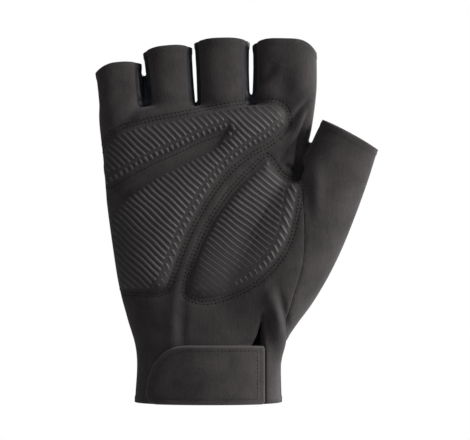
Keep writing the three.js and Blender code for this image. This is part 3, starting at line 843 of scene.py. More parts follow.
def seam_shade(form, points, seams, hemmed):
    """How much darker a panel is along its seams and its hem's stitches, with painted shade in its
    creases.
    """
    painted_shade_strength, darkest = 1.4, 1.5
    shade = np.max([bell(seam(points), SEAM_SHADE_WIDTH) for seam in seams], axis=0)
    if hemmed:
        shade = np.maximum(shade, bell(hem_field(form, points) + HEM_LINE, HEM_LINE_WIDTH))
    shade *= 1 - quiet_seam(form, points)
    # Painted shade in the creases is added to the seams' darkening.
    return np.minimum(shade + painted_shade_strength * painted_shade_in_creases(form, points), darkest)


# What the steps have made so far: the form and its surface, pieces, node trees and materials.
_made = {}


def made_once(key, maker):
    """What a maker returns, kept from its first call on."""
    if key not in _made:
        _made[key] = maker()
    return _made[key]


def the_form():
    """The form for the scene's sizes, made once."""
    return made_once("form", lambda: Form(bpy.context.scene.glove_sizes))


def cut_by(form, points, faces, fields, step):
    """The part of a surface where every field is negative."""
    for field in fields:
        points, faces = cut_along(form, points, faces, field, step)
    return points, faces


def fine_region(form, low, high, step, fields):
    """The form's surface inside a box, as a fine mesh, where every field is negative."""
    points, quads = surface_net(form.distance, low, high, step)
    points, _ = form.settle(points)
    return cut_by(form, points, as_triangles(points, quads), fields, step)


def whole_surface():
    """The form's surface from the wrist's edge to the hems."""
    form = the_form()
    low, high = (-0.056, -0.032, -3 * MM), (0.080, 0.030, 0.166)
    return fine_region(form, low, high, form.sizes.cloth_step, [lambda p: hem_field(form, p)])


def palm_patch(form, outline, foot, front, step):
    """The surface inside an outline on the palm, its normals, and how far inside its points lie."""
    margin, deepest = 2 * MM, -0.030
    low = (outline[:, 0].min() - margin, deepest, foot)
    high = (outline[:, 0].max() + margin, -margin, outline[:, 1].max() + margin)
    points, faces = fine_region(
        form, low, high, step,
        [lambda p: outline_distance(p[:, [0, 2]], outline), lambda p: p[:, 1] + front],
    )
    points, normal = form.settle(points, 1)
    return points, faces, normal, -outline_distance(points[:, [0, 2]], outline)


def settle_piece(piece, slot, *nodes):
    """Every piece rides on the glove's one body and takes the place of its CAD node."""
    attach(piece, "root")
    if nodes:
        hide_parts(*nodes)
    return piece


def add_node(tree, kind, values=None, **settings):
    """A node with its settings made, and each input given a value, a socket or a node to link to."""
    made = tree.nodes.new(kind)
    for name, value in settings.items():
        setattr(made, name, value)
    for key, value in (values or {}).items():
        if isinstance(value, bpy.types.Node):
            value = value.outputs[0]
        if isinstance(value, bpy.types.NodeSocket):
            tree.links.new(value, made.inputs[key])
        else:
            made.inputs[key].default_value = value
    return made


def maths(tree, operation, *values):
    """The result of a Math node."""
    return add_node(tree, "ShaderNodeMath", dict(enumerate(values)), operation=operation).outputs[0]


def blend(calc, first, share, second, other_share):
    """The sum of two sockets, each times its share."""
    return calc("ADD", calc("MULTIPLY", first, share), calc("MULTIPLY", second, other_share))


def makers(tree):
    """What adds a node to a tree, and what adds a Math node to it."""
    return partial(add_node, tree), partial(maths, tree)


def emptied(owner):
    """The makers for a material's or a world's node tree, emptied."""
    owner.use_nodes = True
    owner.node_tree.nodes.clear()
    return makers(owner.node_tree)


def new_tree(name, kind, inputs, outputs):
    """A node group with named inputs and outputs, the sockets of its two end nodes, and its makers."""
    tree = bpy.data.node_groups.new(name, kind)
    for label, socket_kind, *default in inputs:
        socket = tree.interface.new_socket(label, in_out="INPUT", socket_type=socket_kind)
        if default:
            socket.default_value = default[0]
    for label, socket_kind in outputs:
        tree.interface.new_socket(label, in_out="OUTPUT", socket_type=socket_kind)
    given = tree.nodes.new("NodeGroupInput").outputs
    result = tree.nodes.new("NodeGroupOutput").inputs
    return tree, given, result, *makers(tree)


def suede_nap_group():
    """Mottled shade and short nap of synthetic suede."""
    tree, given, result, node, calc = new_tree(
        "suede nap", "ShaderNodeTree",
        (("Patch Size", "NodeSocketFloat", 0.012), ("Grain Size", "NodeSocketFloat", 0.0007)),
        (("Shade", "NodeSocketFloat"), ("Height", "NodeSocketFloat")),
    )
    place = node("ShaderNodeTexCoord").outputs["Object"]
    patches = node("ShaderNodeTexNoise", {
        "Vector": place, "Scale": calc("DIVIDE", 1.0, given["Patch Size"]),
        "Detail": 3.0, "Roughness": 0.55, "Distortion": 0.4,
    })
    grain = node("ShaderNodeTexNoise", {
        "Vector": place, "Scale": calc("DIVIDE", 1.0, given["Grain Size"]),
        "Detail": 2.0, "Roughness": 0.6,
    })
    brushed = node("ShaderNodeMapping", {"Vector": place, "Scale": (900.0, 900.0, 260.0)})
    streaks = node("ShaderNodeTexNoise", {"Vector": brushed, "Scale": 1.0, "Detail": 1.0})
    fine = blend(calc, grain, 0.6, streaks, 0.4)
    tree.links.new(blend(calc, patches, 0.55, fine, 0.45), result["Shade"])
    tree.links.new(fine, result["Height"])
    return tree


def stretch_knit_group():
    """Rows of small stitches of a fine stretch knit."""
    tree, given, result, node, calc = new_tree(
        "stretch knit", "ShaderNodeTree",
        (("Row", "NodeSocketFloat", 0.0009), ("Wale", "NodeSocketFloat", 0.0011)),
        (("Shade", "NodeSocketFloat"), ("Height", "NodeSocketFloat")),
    )
    slant, zigzag, loop_height, wale_height = 0.6, 1.6, 0.35, 0.3
    place = node("ShaderNodeTexCoord").outputs["Object"]
    parts = node("ShaderNodeSeparateXYZ", {0: place}).outputs
    around = calc("ADD", parts["X"], calc("MULTIPLY", parts["Y"], slant))
    column = calc("DIVIDE", calc("MULTIPLY", around, math.tau), given["Wale"])
    rows = calc("DIVIDE", calc("MULTIPLY", parts["Z"], math.tau), given["Row"])
    across = calc("SINE", column)
    bent = calc("ADD", rows, calc("MULTIPLY", calc("ABSOLUTE", across), zigzag))
    height = calc("ADD", blend(calc, calc("SINE", bent), loop_height, across, wale_height), 0.5)
    patches = node("ShaderNodeTexNoise", {"Vector": place, "Scale": 70.0, "Detail": 2.0})
    tree.links.new(blend(calc, height, 0.4, patches, 0.6), result["Shade"])
    tree.links.new(height, result["Height"])
    return tree


def fabric_material(name, group, colour, spread, rough, bump, sheen, settings):
    """A fabric: its colour between a darker and a lighter shade of itself, with nap or knit."""
    darkest_until, lightest_from, seam_and_shade_strength, seam_and_shade_tint, edge_highlight_share = 0.3, 0.72, 0.6, 0.25, 1.9
    made = bpy.data.materials.new(name)
    node, calc = emptied(made)

    def shade(share):
        return (*[c * share for c in colour], 1)

    def attribute(label):
        return node("ShaderNodeAttribute", attribute_name=label).outputs["Fac"]

    def mixed(share, below, above):
        return node("ShaderNodeMix", {0: share, 6: below, 7: above}, data_type="RGBA").outputs[2]

    grain = node("ShaderNodeGroup", settings, node_tree=group)
    ramp = node("ShaderNodeValToRGB", {"Fac": grain.outputs["Shade"]})
    ends = ((darkest_until, 1 - spread), (lightest_from, 1 + spread))
    for element, (position, share) in zip(ramp.color_ramp.elements, ends):
        element.position = position
        element.color = shade(share)
    bumped = node("ShaderNodeBump", {
        "Height": grain.outputs["Height"], "Strength": bump, "Distance": 0.0003,
    })
    # Darker along the seams, and painted shade in the creases, from the panel's attribute.
    seam = calc("MULTIPLY", attribute("seam_shade"), seam_and_shade_strength)
    seam_and_shade_mixed = mixed(seam, ramp, shade(seam_and_shade_tint))
    # Lighter along the tab's cut edge: a painted highlight where the lamps leave the edge dark.
    surface = node("ShaderNodeBsdfPrincipled", {
        "Base Color": mixed(attribute("cut_edge"), seam_and_shade_mixed, shade(edge_highlight_share)), "Normal": bumped,
        "Roughness": rough, "Specular IOR Level": 0.25,
        "Sheen Weight": sheen, "Sheen Roughness": 0.45, "Sheen Tint": (1, 0.97, 0.97, 1),
    })
    node("ShaderNodeOutputMaterial", {"Surface": surface})
    return made


def material(slot):
    """The material for a slot, made once."""
    colours = bpy.context.scene.glove_colours
    nap, knit = made_once("nap", suede_nap_group), made_once("knit", stretch_knit_group)
    # The group, colour, spread, roughness, bump and sheen of each, and what its group is given.
    recipes = {
        "suede": (nap, colours.suede, 0.5, 0.9, 0.6, 0.08, {}),
        "stretch_knit": (knit, colours.knit, 0.2, 0.52, 0.1, 0.05, {}),
        "pad_cover": (nap, colours.pad, 0.22, 0.85, 0.4, 0.05, {"Patch Size": 0.018}),
        "grip_print": (nap, colours.grip, 0.4, 0.55, 0.25, 0.0, {"Patch Size": 0.016}),
        "thread": (nap, colours.thread, 0.3, 0.7, 0.3, 0.02, {"Grain Size": 0.0003}),
    }
    return made_once(slot, lambda: fabric_material(slot, *recipes[slot]))


def finish_tree(tree, node, geometry, finish, result):
    """The end of a geometry tree: what it made turned real, in its material."""
    real = node("GeometryNodeRealizeInstances", {0: geometry})
    real = node("GeometryNodeSetMaterial", {"Geometry": real, "Material": finish})
    tree.links.new(real.outputs[0], result)
    return tree


def ribs_tree():
    """Waved parallel ribs laid on a pad wherever its print attribute allows them."""
    waves_along, waves_across, drift = 420.0, 170.0, 2.0
    sunk_share, taper_share, blunt_end = -0.32, 0.4, 0.7
    tree, given, result, node, calc = new_tree(
        "grip ribs", "GeometryNodeTree",
        (
            ("Pad", "NodeSocketGeometry"), ("Pitch", "NodeSocketFloat", 0.0022),
            ("Width", "NodeSocketFloat", 0.0009), ("Angle", "NodeSocketFloat", 0.75),
            ("Wave", "NodeSocketFloat", 0.00015), ("Middle", "NodeSocketVector"),
            ("Span", "NodeSocketFloat", 0.14), ("Step", "NodeSocketFloat", 0.0005),
            ("Room", "NodeSocketString", "print_room"), ("Finish", "NodeSocketMaterial"),
        ),
        (("Ribs", "NodeSocketGeometry"),),
    )
    vector = partial(node, "ShaderNodeCombineXYZ")
    half = calc("MULTIPLY", given["Span"], 0.5)
    back = calc("MULTIPLY", half, -1.0)
    line = node("GeometryNodeCurvePrimitiveLine", {
        "Start": vector({"X": back}), "End": vector({"X": half}),
    })
    count = calc("ROUND", calc("DIVIDE", given["Span"], given["Step"]))
    line = node("GeometryNodeResampleCurve", {"Curve": line, "Count": count})
    line = node("GeometryNodeCurveToMesh", {"Curve": line})
    rows = node("GeometryNodeMeshLine", {
        "Count": calc("ROUND", calc("DIVIDE", given["Span"], given["Pitch"])),
        "Start Location": vector({"Z": back}), "Offset": vector({"Z": given["Pitch"]}),
    })
    lines = node("GeometryNodeInstanceOnPoints", {"Points": rows, "Instance": line})
    lines = node("GeometryNodeRealizeInstances", {0: lines})

    place = node("ShaderNodeSeparateXYZ", {0: node("GeometryNodeInputPosition")}).outputs
    along = calc("MULTIPLY", place["X"], waves_along)
    phase = calc("MULTIPLY", calc("SINE", calc("MULTIPLY", place["Z"], waves_across)), drift)
    wave = calc("MULTIPLY", calc("SINE", calc("ADD", along, phase)), given["Wave"])
    lines = node("GeometryNodeSetPosition", {"Geometry": lines, "Offset": vector({"Z": wave})})
    lines = node("GeometryNodeTransform", {
        "Geometry": lines, "Translation": given["Middle"], "Rotation": vector({"Y": given["Angle"]}),
    })

    room = node("GeometryNodeInputNamedAttribute", {"Name": given["Room"]}, data_type="FLOAT_VECTOR")
    ray = node("GeometryNodeRaycast", {
        "Target Geometry": given["Pad"], "Attribute": room,
        "Ray Direction": (0, 1, 0), "Ray Length": 0.2,
    }, data_type="FLOAT_VECTOR")
    room = node("ShaderNodeSeparateXYZ", {0: ray.outputs["Attribute"]}).outputs
    lines = node("GeometryNodeStoreNamedAttribute", {
        "Geometry": lines, "Name": "print_strength", "Value": room["Y"],
    })
    kept = calc("MULTIPLY", calc("GREATER_THAN", room["X"], 0.0), ray.outputs["Is Hit"])
    gone = node("FunctionNodeBooleanMath", {0: kept}, operation="NOT")
    lines = node("GeometryNodeDeleteGeometry", {"Geometry": lines, "Selection": gone})
    sunk = node("ShaderNodeVectorMath", {
        0: ray.outputs["Hit Normal"], "Scale": calc("MULTIPLY", given["Width"], sunk_share),
    }, operation="SCALE")
    lines = node("GeometryNodeSetPosition", {
        "Geometry": lines, "Position": ray.outputs["Hit Position"], "Offset": sunk,
    })

    ribs = node("GeometryNodeMeshToCurve", {0: lines})
    travelled = node("GeometryNodeSplineParameter").outputs["Length"]
    total = node("GeometryNodeSplineLength").outputs["Length"]
    from_end = calc("MINIMUM", travelled, calc("SUBTRACT", total, travelled))
    taper = calc("MULTIPLY", given["Width"], taper_share)
    share = calc("MINIMUM", calc("DIVIDE", from_end, taper), 1.0)
    girth = calc("ADD", calc("MULTIPLY", calc("SQRT", share), 1 - blunt_end), blunt_end)
    strength = node("GeometryNodeInputNamedAttribute", {"Name": "print_strength"})
    girth = calc("MULTIPLY", girth, strength)
    radius = calc("MULTIPLY", calc("MULTIPLY", girth, given["Width"]), 0.5)
    ribs = node("GeometryNodeSetCurveRadius", {"Curve": ribs, "Radius": radius})
    ribs = node("GeometryNodeCurveToMesh", {
        "Curve": ribs, "Fill Caps": True,
        "Profile Curve": node("GeometryNodeCurvePrimitiveCircle", {"Resolution": 8, "Radius": 1.0}),
        "Scale": node("GeometryNodeInputNamedAttribute", {"Name": "radius"}),
    })
    ribs = node("GeometryNodeSetShadeSmooth", {0: ribs})
    return finish_tree(tree, node, ribs, given["Finish"], result["Ribs"])


def stitches_tree():
    """Stitches laid along a path that carries the fabric's outward direction."""
    tree, given, result, node, _ = new_tree(
        "stitch row", "GeometryNodeTree",
        (
            ("Path", "NodeSocketGeometry"), ("Pitch", "NodeSocketFloat", 0.0017),
            ("Length", "NodeSocketFloat", 0.0012), ("Width", "NodeSocketFloat", 0.0005),
            ("Turn", "NodeSocketFloat", 0.0), ("Finish", "NodeSocketMaterial"),
        ),
        (("Stitches", "NodeSocketGeometry"),),
    )
    path = node("GeometryNodeMeshToCurve", {0: given["Path"]})
    path = node("GeometryNodeResampleCurve", {"Curve": path, "Length": given["Pitch"]}, mode="LENGTH")
    stitch = node("GeometryNodeMeshUVSphere", {"Segments": 6, "Rings": 5, "Radius": 0.5})
    stitch = node("GeometryNodeSetShadeSmooth", {0: stitch})
    out = node("GeometryNodeInputNamedAttribute", {"Name": "outward"}, data_type="FLOAT_VECTOR")
    turned = node(
        "FunctionNodeAlignRotationToVector", {"Vector": node("GeometryNodeInputTangent")}, axis="X"
    )
    turned = node(
        "FunctionNodeAlignRotationToVector", {"Rotation": turned, "Vector": out},
        axis="Z", pivot_axis="X",
    )
    slant = node("FunctionNodeAxisAngleToRotation", {"Axis": (0, 0, 1), "Angle": given["Turn"]})
    turned = node(
        "FunctionNodeRotateRotation", {"Rotation": turned, "Rotate By": slant},
        rotation_space="LOCAL",
    )
    size = node("ShaderNodeCombineXYZ", {
        "X": given["Length"], "Y": given["Width"], "Z": given["Width"],
    })
    rows = node("GeometryNodeInstanceOnPoints", {
        "Points": path, "Instance": stitch, "Rotation": turned, "Scale": size,
    })
    return finish_tree(tree, node, rows, given["Finish"], result["Stitches"])


def built(name, source, tree, values):
    """What a Geometry Nodes tree makes of an object, as a plain mesh object of its own."""
    maker = source.modifiers.new(tree.name, "NODES")
    maker.node_group = tree
    for item in tree.interface.items_tree:
        if item.item_type == "SOCKET" and item.in_out == "INPUT" and item.name in values:
            maker[item.identifier] = values[item.name]
    source.update_tag()
    graph = bpy.context.evaluated_depsgraph_get()
    mesh = bpy.data.meshes.new_from_object(source.evaluated_get(graph), depsgraph=graph)
    source.modifiers.remove(maker)
    if not mesh.polygons:
        raise RuntimeError(f"{name} came out empty")
    mesh.name = name
    return in_scene(name, mesh)


def path_object(name, lines):
    """Paths as a mesh of edges whose points carry the fabric's outward direction."""
    mesh = bpy.data.meshes.new(name)
    points, outward, edges = [], [], []
    for line, normals, closed in lines:
        first = len(points)
        points.extend(line)
        outward.extend(normals)
        edges.extend((first + i, first + i + 1) for i in range(len(line) - 1))
        if closed:
            edges.append((len(points) - 1, first))
    mesh.from_pydata(points, edges, [])
    keep_values(mesh, "outward", outward)
    return in_scene(name, mesh)


def stitch_rows(name, lines, pitch, length, width, turn=0.0):
    """Rows of stitches along paths, as one piece."""
    path = path_object(name + "_path", lines)
    made = built(name, path, made_once("stitch tree", stitches_tree), {
        "Pitch": pitch, "Length": length, "Width": width, "Turn": turn, "Finish": material("thread"),
    })
    bpy.data.objects.remove(path)
    return settle_piece(made, "thread")


def surface_tree(*pieces):
    """A search tree over the fabric of several pieces."""
    points, faces = [], []
    for piece in pieces:
        first = len(points)
        points.extend(v.co for v in piece.data.vertices)
        faces.extend([first + i for i in p.vertices] for p in piece.data.polygons)
    return BVHTree.FromPolygons(points, faces)


def draped(tree, flat, closed, side=-1):
    """A flat line of x and z laid on the fabric from the palm's or the back's side, in its runs."""
    away, least_slope, furthest, widest_gap, shortest = 0.1, 0.12, -8 * MM, 3 * MM, 3
    runs, line, outward = [], [], []
    for x, z in flat:
        hit, normal, _, _ = tree.ray_cast(Vector((x, side * away, z)), Vector((0, -side, 0)))
        fits = hit is not None and abs(normal.y) > least_slope and hit.y * side > furthest
        if fits and (not line or (hit - Vector(line[-1])).length < widest_gap):
            line.append(tuple(hit))
            outward.append(tuple(normal if normal.y * side > 0 else -normal))
            continue
        if len(line) > shortest:
            runs.append((line, outward, False))
        line, outward = ([tuple(hit)], [tuple(normal)]) if fits else ([], [])
    if len(line) > shortest:
        runs.append((line, outward, closed and not runs and len(line) == len(flat)))
    return runs


def even_line(line, step, closed=False):
    """A line's points spread evenly along it."""
    if closed:
        line = np.vstack([line, line[:1]])
    gone = np.concatenate([[0], np.cumsum(np.linalg.norm(np.diff(line, axis=0), axis=1))])
    at = np.linspace(0, gone[-1], max(int(gone[-1] / step), 4) + 1)
    even = np.stack([np.interp(at, gone, line[:, i]) for i in range(line.shape[1])], 1)
    return even[:-1] if closed else even


def offset_outline(outline, gap, step=0.8 * MM):
    """A closed outline moved outwards by a gap, or inwards where it is negative."""
    clearance = 0.96
    line = even_line(outline, step, closed=True)
    run = np.roll(line, -1, axis=0) - np.roll(line, 1, axis=0)
    normal = np.stack([run[:, 1], -run[:, 0]], 1) / np.linalg.norm(run, axis=1)[:, None]
    area = (line[:, 0] * np.roll(line[:, 1], -1) - np.roll(line[:, 0], -1) * line[:, 1]).sum()
    moved = line + normal * gap * np.sign(area)
    clear = outline_distance(moved, outline) * np.sign(gap) > abs(gap) * clearance
    return even_line(moved[clear], step, closed=True)


def make_panel(name, node, slot, fields, seams):
    """A piece of fabric: its part of the form, with thickness and rolled edges."""
    rim = 0.15 * MM
    form = the_form()
    surface = made_once("surface", whole_surface)
    points, faces = cut_by(form, *surface, fields, form.sizes.cloth_step)
    shade = seam_shade(form, points, seams, slot == "stretch_knit")
    points, normal = form.settle(points, 1)
    height = panel_height(form, points, seams)
    made = walled_piece(name, slot, points, faces, normal, height, height - form.sizes.wall, rim)
    # Keeps the dark seams and the painted shade of the creases for the material.
    keep_outside_values(made, "seam_shade", shade)
    return settle_piece(made, slot, node)


def all_seams(form):
    """The fields whose zero lines are the glove's seams."""
    gussets = [lambda p, i=i: gusset_field(form, i, p) for i in range(3)]
    return [lambda p: side_field(form, p), lambda p: thumb_field(form, p), *gussets]


def turned(field):
    """The outside of a field as its inside."""
    return lambda points: -field(points)


class GLOVE_OT_palm(Operator):
    """Make the palm's suede, with its folds, the wrist slit and the strip beside it"""

    bl_idname = "glove.palm"
    bl_label = "Make Palm"

    def execute(self, context):
        form = the_form()
        seams = [*all_seams(form), lambda p: slit_field(form, p)]
        fields = [seams[0], *map(turned, seams[1:])]
        _made["palm"] = make_panel("palm_suede", "palm_panel", "suede", fields, seams)
        return {"FINISHED"}


class GLOVE_OT_back(Operator):
    """Make the stretch knit over the back of the hand and the fingers"""

    bl_idname = "glove.back"
    bl_label = "Make Back"

    def execute(self, context):
        seams = all_seams(the_form())
        fields = [turned(seam) for seam in seams]
        _made["back"] = make_panel("back_knit", "back_panel", "stretch_knit", fields, seams)
        return {"FINISHED"}


class GLOVE_OT_thumb(Operator):
    """Make the thumb's suede"""

    bl_idname = "glove.thumb"
    bl_label = "Make Thumb"

    def execute(self, context):
        thumb = all_seams(the_form())[1]
        _made["thumb"] = make_panel("thumb_suede", "thumb_panel", "suede", [thumb], [thumb])
        return {"FINISHED"}


class GLOVE_OT_gussets(Operator):
    """Make the knit strips between the fingers"""

    bl_idname = "glove.gussets"
    bl_label = "Make Finger Gussets"

    def execute(self, context):
        gussets = all_seams(the_form())[2:]
        pairs = [f"{a}_{b}" for a, b in zip(FINGER_NAMES[:-1], FINGER_NAMES[1:])]
        _made["gussets"] = [
            make_panel(f"knit_{pair}", f"gusset_{pair}", "stretch_knit", [gusset], [gusset])
            for pair, gusset in zip(pairs, gussets)
        ]
        return {"FINISHED"}


def room_for_print(form, number, flat):
    """How much room points of a pad have for ribs and for dashes, and how thick each is there."""
    off_edge, off_dashes, dash_end, dash_off_edge = 0.5 * MM, 0.8 * MM, 0.3 * MM, 0.8 * MM
    nearest = {"plain": np.full(len(flat), 1.0), "dashes": np.full(len(flat), 1.0)}
    for kind, line in form.pads[number]:
        nearest[kind] = np.minimum(nearest[kind], line_distance(flat, line)[0])
    edge, dashed = nearest["plain"], nearest["dashes"]
    dash = form.sizes.dash_length * DASH_LENGTHENING[number]
    ribs = np.minimum(edge - off_edge, dashed - (dash + off_dashes))
    dashes = np.minimum(dashed - dash_end, dash + dash_end - dashed)
    dashes = np.minimum(dashes, edge - dash_off_edge)
    share = flat / (form.width, form.height)
    rib_thickness, dash_thickness = (
        least + gain * smooth_step(share[:, axis], low, high)
        for axis, least, gain, low, high in (RIB_FADES[number], DASH_FADE)
    )
    return {"print_room": (ribs, rib_thickness), "dash_room": (dashes, dash_thickness)}


def make_pad(name, number):
    """A raised pad on the palm, with the room for its print kept as an attribute."""
    edge_share, edge_round, edge_slope = 0.8, 3.2 * MM, 4.2 * MM
    crown_share, crown_from, crown_to = 0.2, 2 * MM, 11 * MM
    foot, inside_foot, rim, margin, front = 0.1 * MM, 0.02 * MM, 0.1 * MM, 2 * MM, 2.5 * MM
    seam_allowance, most_fill = 1.2 * MM, 0.7 * MM
    form = the_form()
    sizes = form.sizes
    outline = form.pad_outlines[number]
    points, faces, normal, inside = palm_patch(
        form, outline, outline[:, 1].min() - margin, front, sizes.pad_step
    )
    base = relief(form, points)
    rise = np.clip(inside / edge_round, 0, 1)
    shoulder = 0.5 * np.sqrt(1 - (1 - rise) ** 2) + 0.5 * smooth_step(inside, 0, edge_slope)
    height = foot + sizes.pad_height * edge_share * shoulder
    height += sizes.pad_height * crown_share * smooth_step(inside, crown_from, crown_to)
    made = walled_piece(
        name + "_cover", "pad_cover", points, faces, normal, base + height, base + inside_foot, rim
    )
    room = np.full((len(made.data.vertices), 3), -1.0)
    for label, columns in room_for_print(form, number, points[:, [0, 2]]).items():
        room[: len(points), :2] = np.transpose(columns)
        keep_values(made.data, label, room)
    border = np.nonzero(inside < seam_allowance)[0]
    sewn = np.concatenate([border, np.arange(len(points), len(room))])
    filled_out(made, sewn, most_fill)
    return made


def filled_out(pad, sewn, reach):
    """The pad's cover swollen by pressure in a cloth simulation, no further than reach."""
    enlarged, frames = 8.0, 20
    work = pad.copy()
    work.data = pad.data.copy()
    bpy.context.scene.collection.objects.link(work)
    count = len(work.data.vertices)
    start = np.empty(count * 3, np.float32)
    pad.data.vertices.foreach_get("co", start)
    work.data.vertices.foreach_set("co", start * enlarged)
    held = work.vertex_groups.new(name="sewn")
    held.add([int(i) for i in sewn], 1.0, "REPLACE")
    cloth = work.modifiers.new("fill", "CLOTH")
    cloth.settings.quality = 5
    cloth.settings.mass = 0.3
    cloth.settings.vertex_group_mass = "sewn"
    cloth.settings.use_pressure = True
    cloth.settings.uniform_pressure_force = 4
    cloth.settings.effector_weights.gravity = 0
    cloth.collision_settings.use_collision = False
    cloth.point_cache.frame_start = 1
    cloth.point_cache.frame_end = frames
    scene = bpy.context.scene
    for moment in range(1, frames + 1):
        scene.frame_set(moment)
    graph = bpy.context.evaluated_depsgraph_get()
    end = np.empty(count * 3, np.float32)
    work.evaluated_get(graph).data.vertices.foreach_get("co", end)
    move = (end / enlarged - start).reshape(-1, 3)
    size = np.linalg.norm(move, axis=1)
    move *= (np.tanh(size / reach) * reach / np.maximum(size, 1e-9))[:, None]
    pad.data.vertices.foreach_set("co", (start.reshape(-1, 3) + move).reshape(-1))
    pad.data.update()
    bpy.data.objects.remove(work)
    scene.frame_set(1)


def make_ribs(name, pad, angle, pitch, room):
    """The raised print on a pad, where an attribute of the pad has room for it."""
    in_front = -0.1
    corners = np.array([v.co for v in pad.data.vertices])
    middle = (corners.min(0) + corners.max(0)) / 2
    middle[1] = in_front
    made = built(name, pad, made_once("rib tree", ribs_tree), {
        "Pitch": pitch, "Width": the_form().sizes.rib_width, "Angle": angle, "Room": room,
        "Middle": tuple(middle), "Finish": material("grip_print"),
    })
    return settle_piece(made, "grip_print")


class GLOVE_OT_pads(Operator):
    """Make the two raised pads of the palm with their ribbed print"""

    bl_idname = "glove.pads"
    bl_label = "Make Pads"

    def execute(self, context):
        less = 0.1
        sizes = context.scene.glove_sizes
        angles = (sizes.rib_angle, sizes.rib_angle - less)
        for number, name in enumerate(("palm_pad", "thumb_base_pad")):
            pad = make_pad(name, number)
            make_ribs(name + "_print", pad, angles[number], sizes.rib_pitch, "print_room")
            make_ribs(name + "_dashes", pad, sizes.dash_angle, sizes.dash_pitch, "dash_room")
            settle_piece(pad, "pad_cover", name)
        return {"FINISHED"}


def tab_outline(sizes):
    """The tab's outline: square at the slit, rounded at its free end."""
    corner_size, off_slit = 4 * MM, 0.15 * MM
    slope_from, slope_to, shoulder = 17 * MM, 6 * MM, 0.65
    right = sizes.slit_x - off_slit
    left = right - sizes.tab_length
    low, high = sizes.cuff_margin, sizes.cuff_margin + sizes.tab_width
    t = np.linspace(0, 1, 24)[:, None]
    shape = [np.array(point) for point in (
        (left + slope_from, high), (left + slope_to, high),
        (left, low + shoulder * sizes.tab_width), (left, low + corner_size),
    )]
    weights = ((1 - t) ** 3, 3 * t * (1 - t) ** 2, 3 * t**2 * (1 - t), t**3)
    top = sum(weight * point for weight, point in zip(weights, shape))
    corner = bezier((left, low + corner_size), (left, low), (left + corner_size, low))
    return np.vstack([top, corner, [(right, low), (right, high)]])


class GLOVE_OT_tab(Operator):
    """Make the closing tab of the wrist"""

    bl_idname = "glove.tab"
    bl_label = "Make Tab"

    def execute(self, context):
        off_palm, row_depth, row_width = 0.3 * MM, 0.15 * MM, 0.45 * MM
        wave, rim, highlight_width, step = 0.25 * MM, 0.45 * MM, 0.5 * MM, 0.7 * MM
        form = the_form()
        points, faces, normal, inside = palm_patch(
            form, tab_outline(form.sizes), -2 * MM, 3 * MM, step
        )
        lift = off_palm + RIPPLE_HEIGHT * ripple(points)
        height = lift + form.sizes.tab_thickness - row_depth * bell(inside - TAB_ROW, row_width)
        height += wave * np.sin(points[:, 0] / (7 * MM) + points[:, 2] / (11 * MM))
        tab = walled_piece("tab_suede", "suede", points, faces, normal, height, lift, rim)
        # The cut edge is painted lighter: a painted highlight along it.
        keep_outside_values(tab, "cut_edge", bell(inside, highlight_width))
        _made["tab"] = settle_piece(tab, "suede", "closure_tab")
        return {"FINISHED"}


def lines_round_pads(form):
    """Lines of stitches round the pads, left out between two lobes, and whether each is closed."""
    clearance = 1.04
    for number, (sides, outline) in enumerate(zip(form.pads, form.pad_outlines)):
        for row, gap in enumerate(PAD_ROWS):
            line = offset_outline(outline, gap)
            if number == 0:
                bare = np.vstack([side for _, side in sides[1:2 + row]])
                near, _ = line_distance(line, bare)
                start = np.argmax(near < clearance * gap)
                line = np.roll(line, -start, axis=0)
                line = line[np.roll(near, -start) > clearance * gap]
            yield line, number == 1


def hem_lines(form, drop):
    """A line across the back of each finger, a drop below its hem."""
    sizes = form.sizes
    reach, count = 0.93, 34
    u = np.linspace(-reach, reach, count)
    for finger, hem in zip(form.fingers, form.hems):
        half = hem["width"] * sizes.palm_width / 2
        dip = np.where(u > 0, hem["thumb_dip"], hem["little_dip"]) * np.abs(u) ** hem["round"]
        along = finger.length - sizes.hem_dip * dip - drop
        points = finger.foot + along[:, None] * finger.axis + (u * half)[:, None] * finger.across
        yield points[:, [0, 2]]


class GLOVE_OT_stitches(Operator):
    """Sew the rows of stitches round the pads, the tab and the finger hems"""

    bl_idname = "glove.stitches"
    bl_label = "Sew Stitches"

    def execute(self, context):
        overlock_drop = 0.75 * MM
        form = the_form()
        sizes = form.sizes
        pitch, length = sizes.stitch_pitch, sizes.stitch_length
        palm = surface_tree(_made["palm"], _made["thumb"])
        rows = [run for line, closed in lines_round_pads(form) for run in draped(palm, line, closed)]
        stitch_rows("pad_stitches", rows, pitch, length, width=sizes.stitch_width)
        back = surface_tree(_made["back"], *_made["gussets"])
        edge, below = (
            [run for line in hem_lines(form, drop) for run in draped(back, line, False, side=1)]
            for drop in (overlock_drop, HEM_LINE)
        )
        stitch_rows(
            "hem_overlock", edge, pitch=1.15 * MM, length=2.3 * MM, width=0.75 * MM, turn=math.pi / 2
        )
        stitch_rows("hem_stitches", below, pitch, length, width=0.45 * MM)
        line = offset_outline(tab_outline(sizes), -TAB_ROW)
        row = draped(surface_tree(_made["tab"]), line, True)
        stitch_rows("tab_stitches", row, pitch, length, width=0.36 * MM)
        return {"FINISHED"}


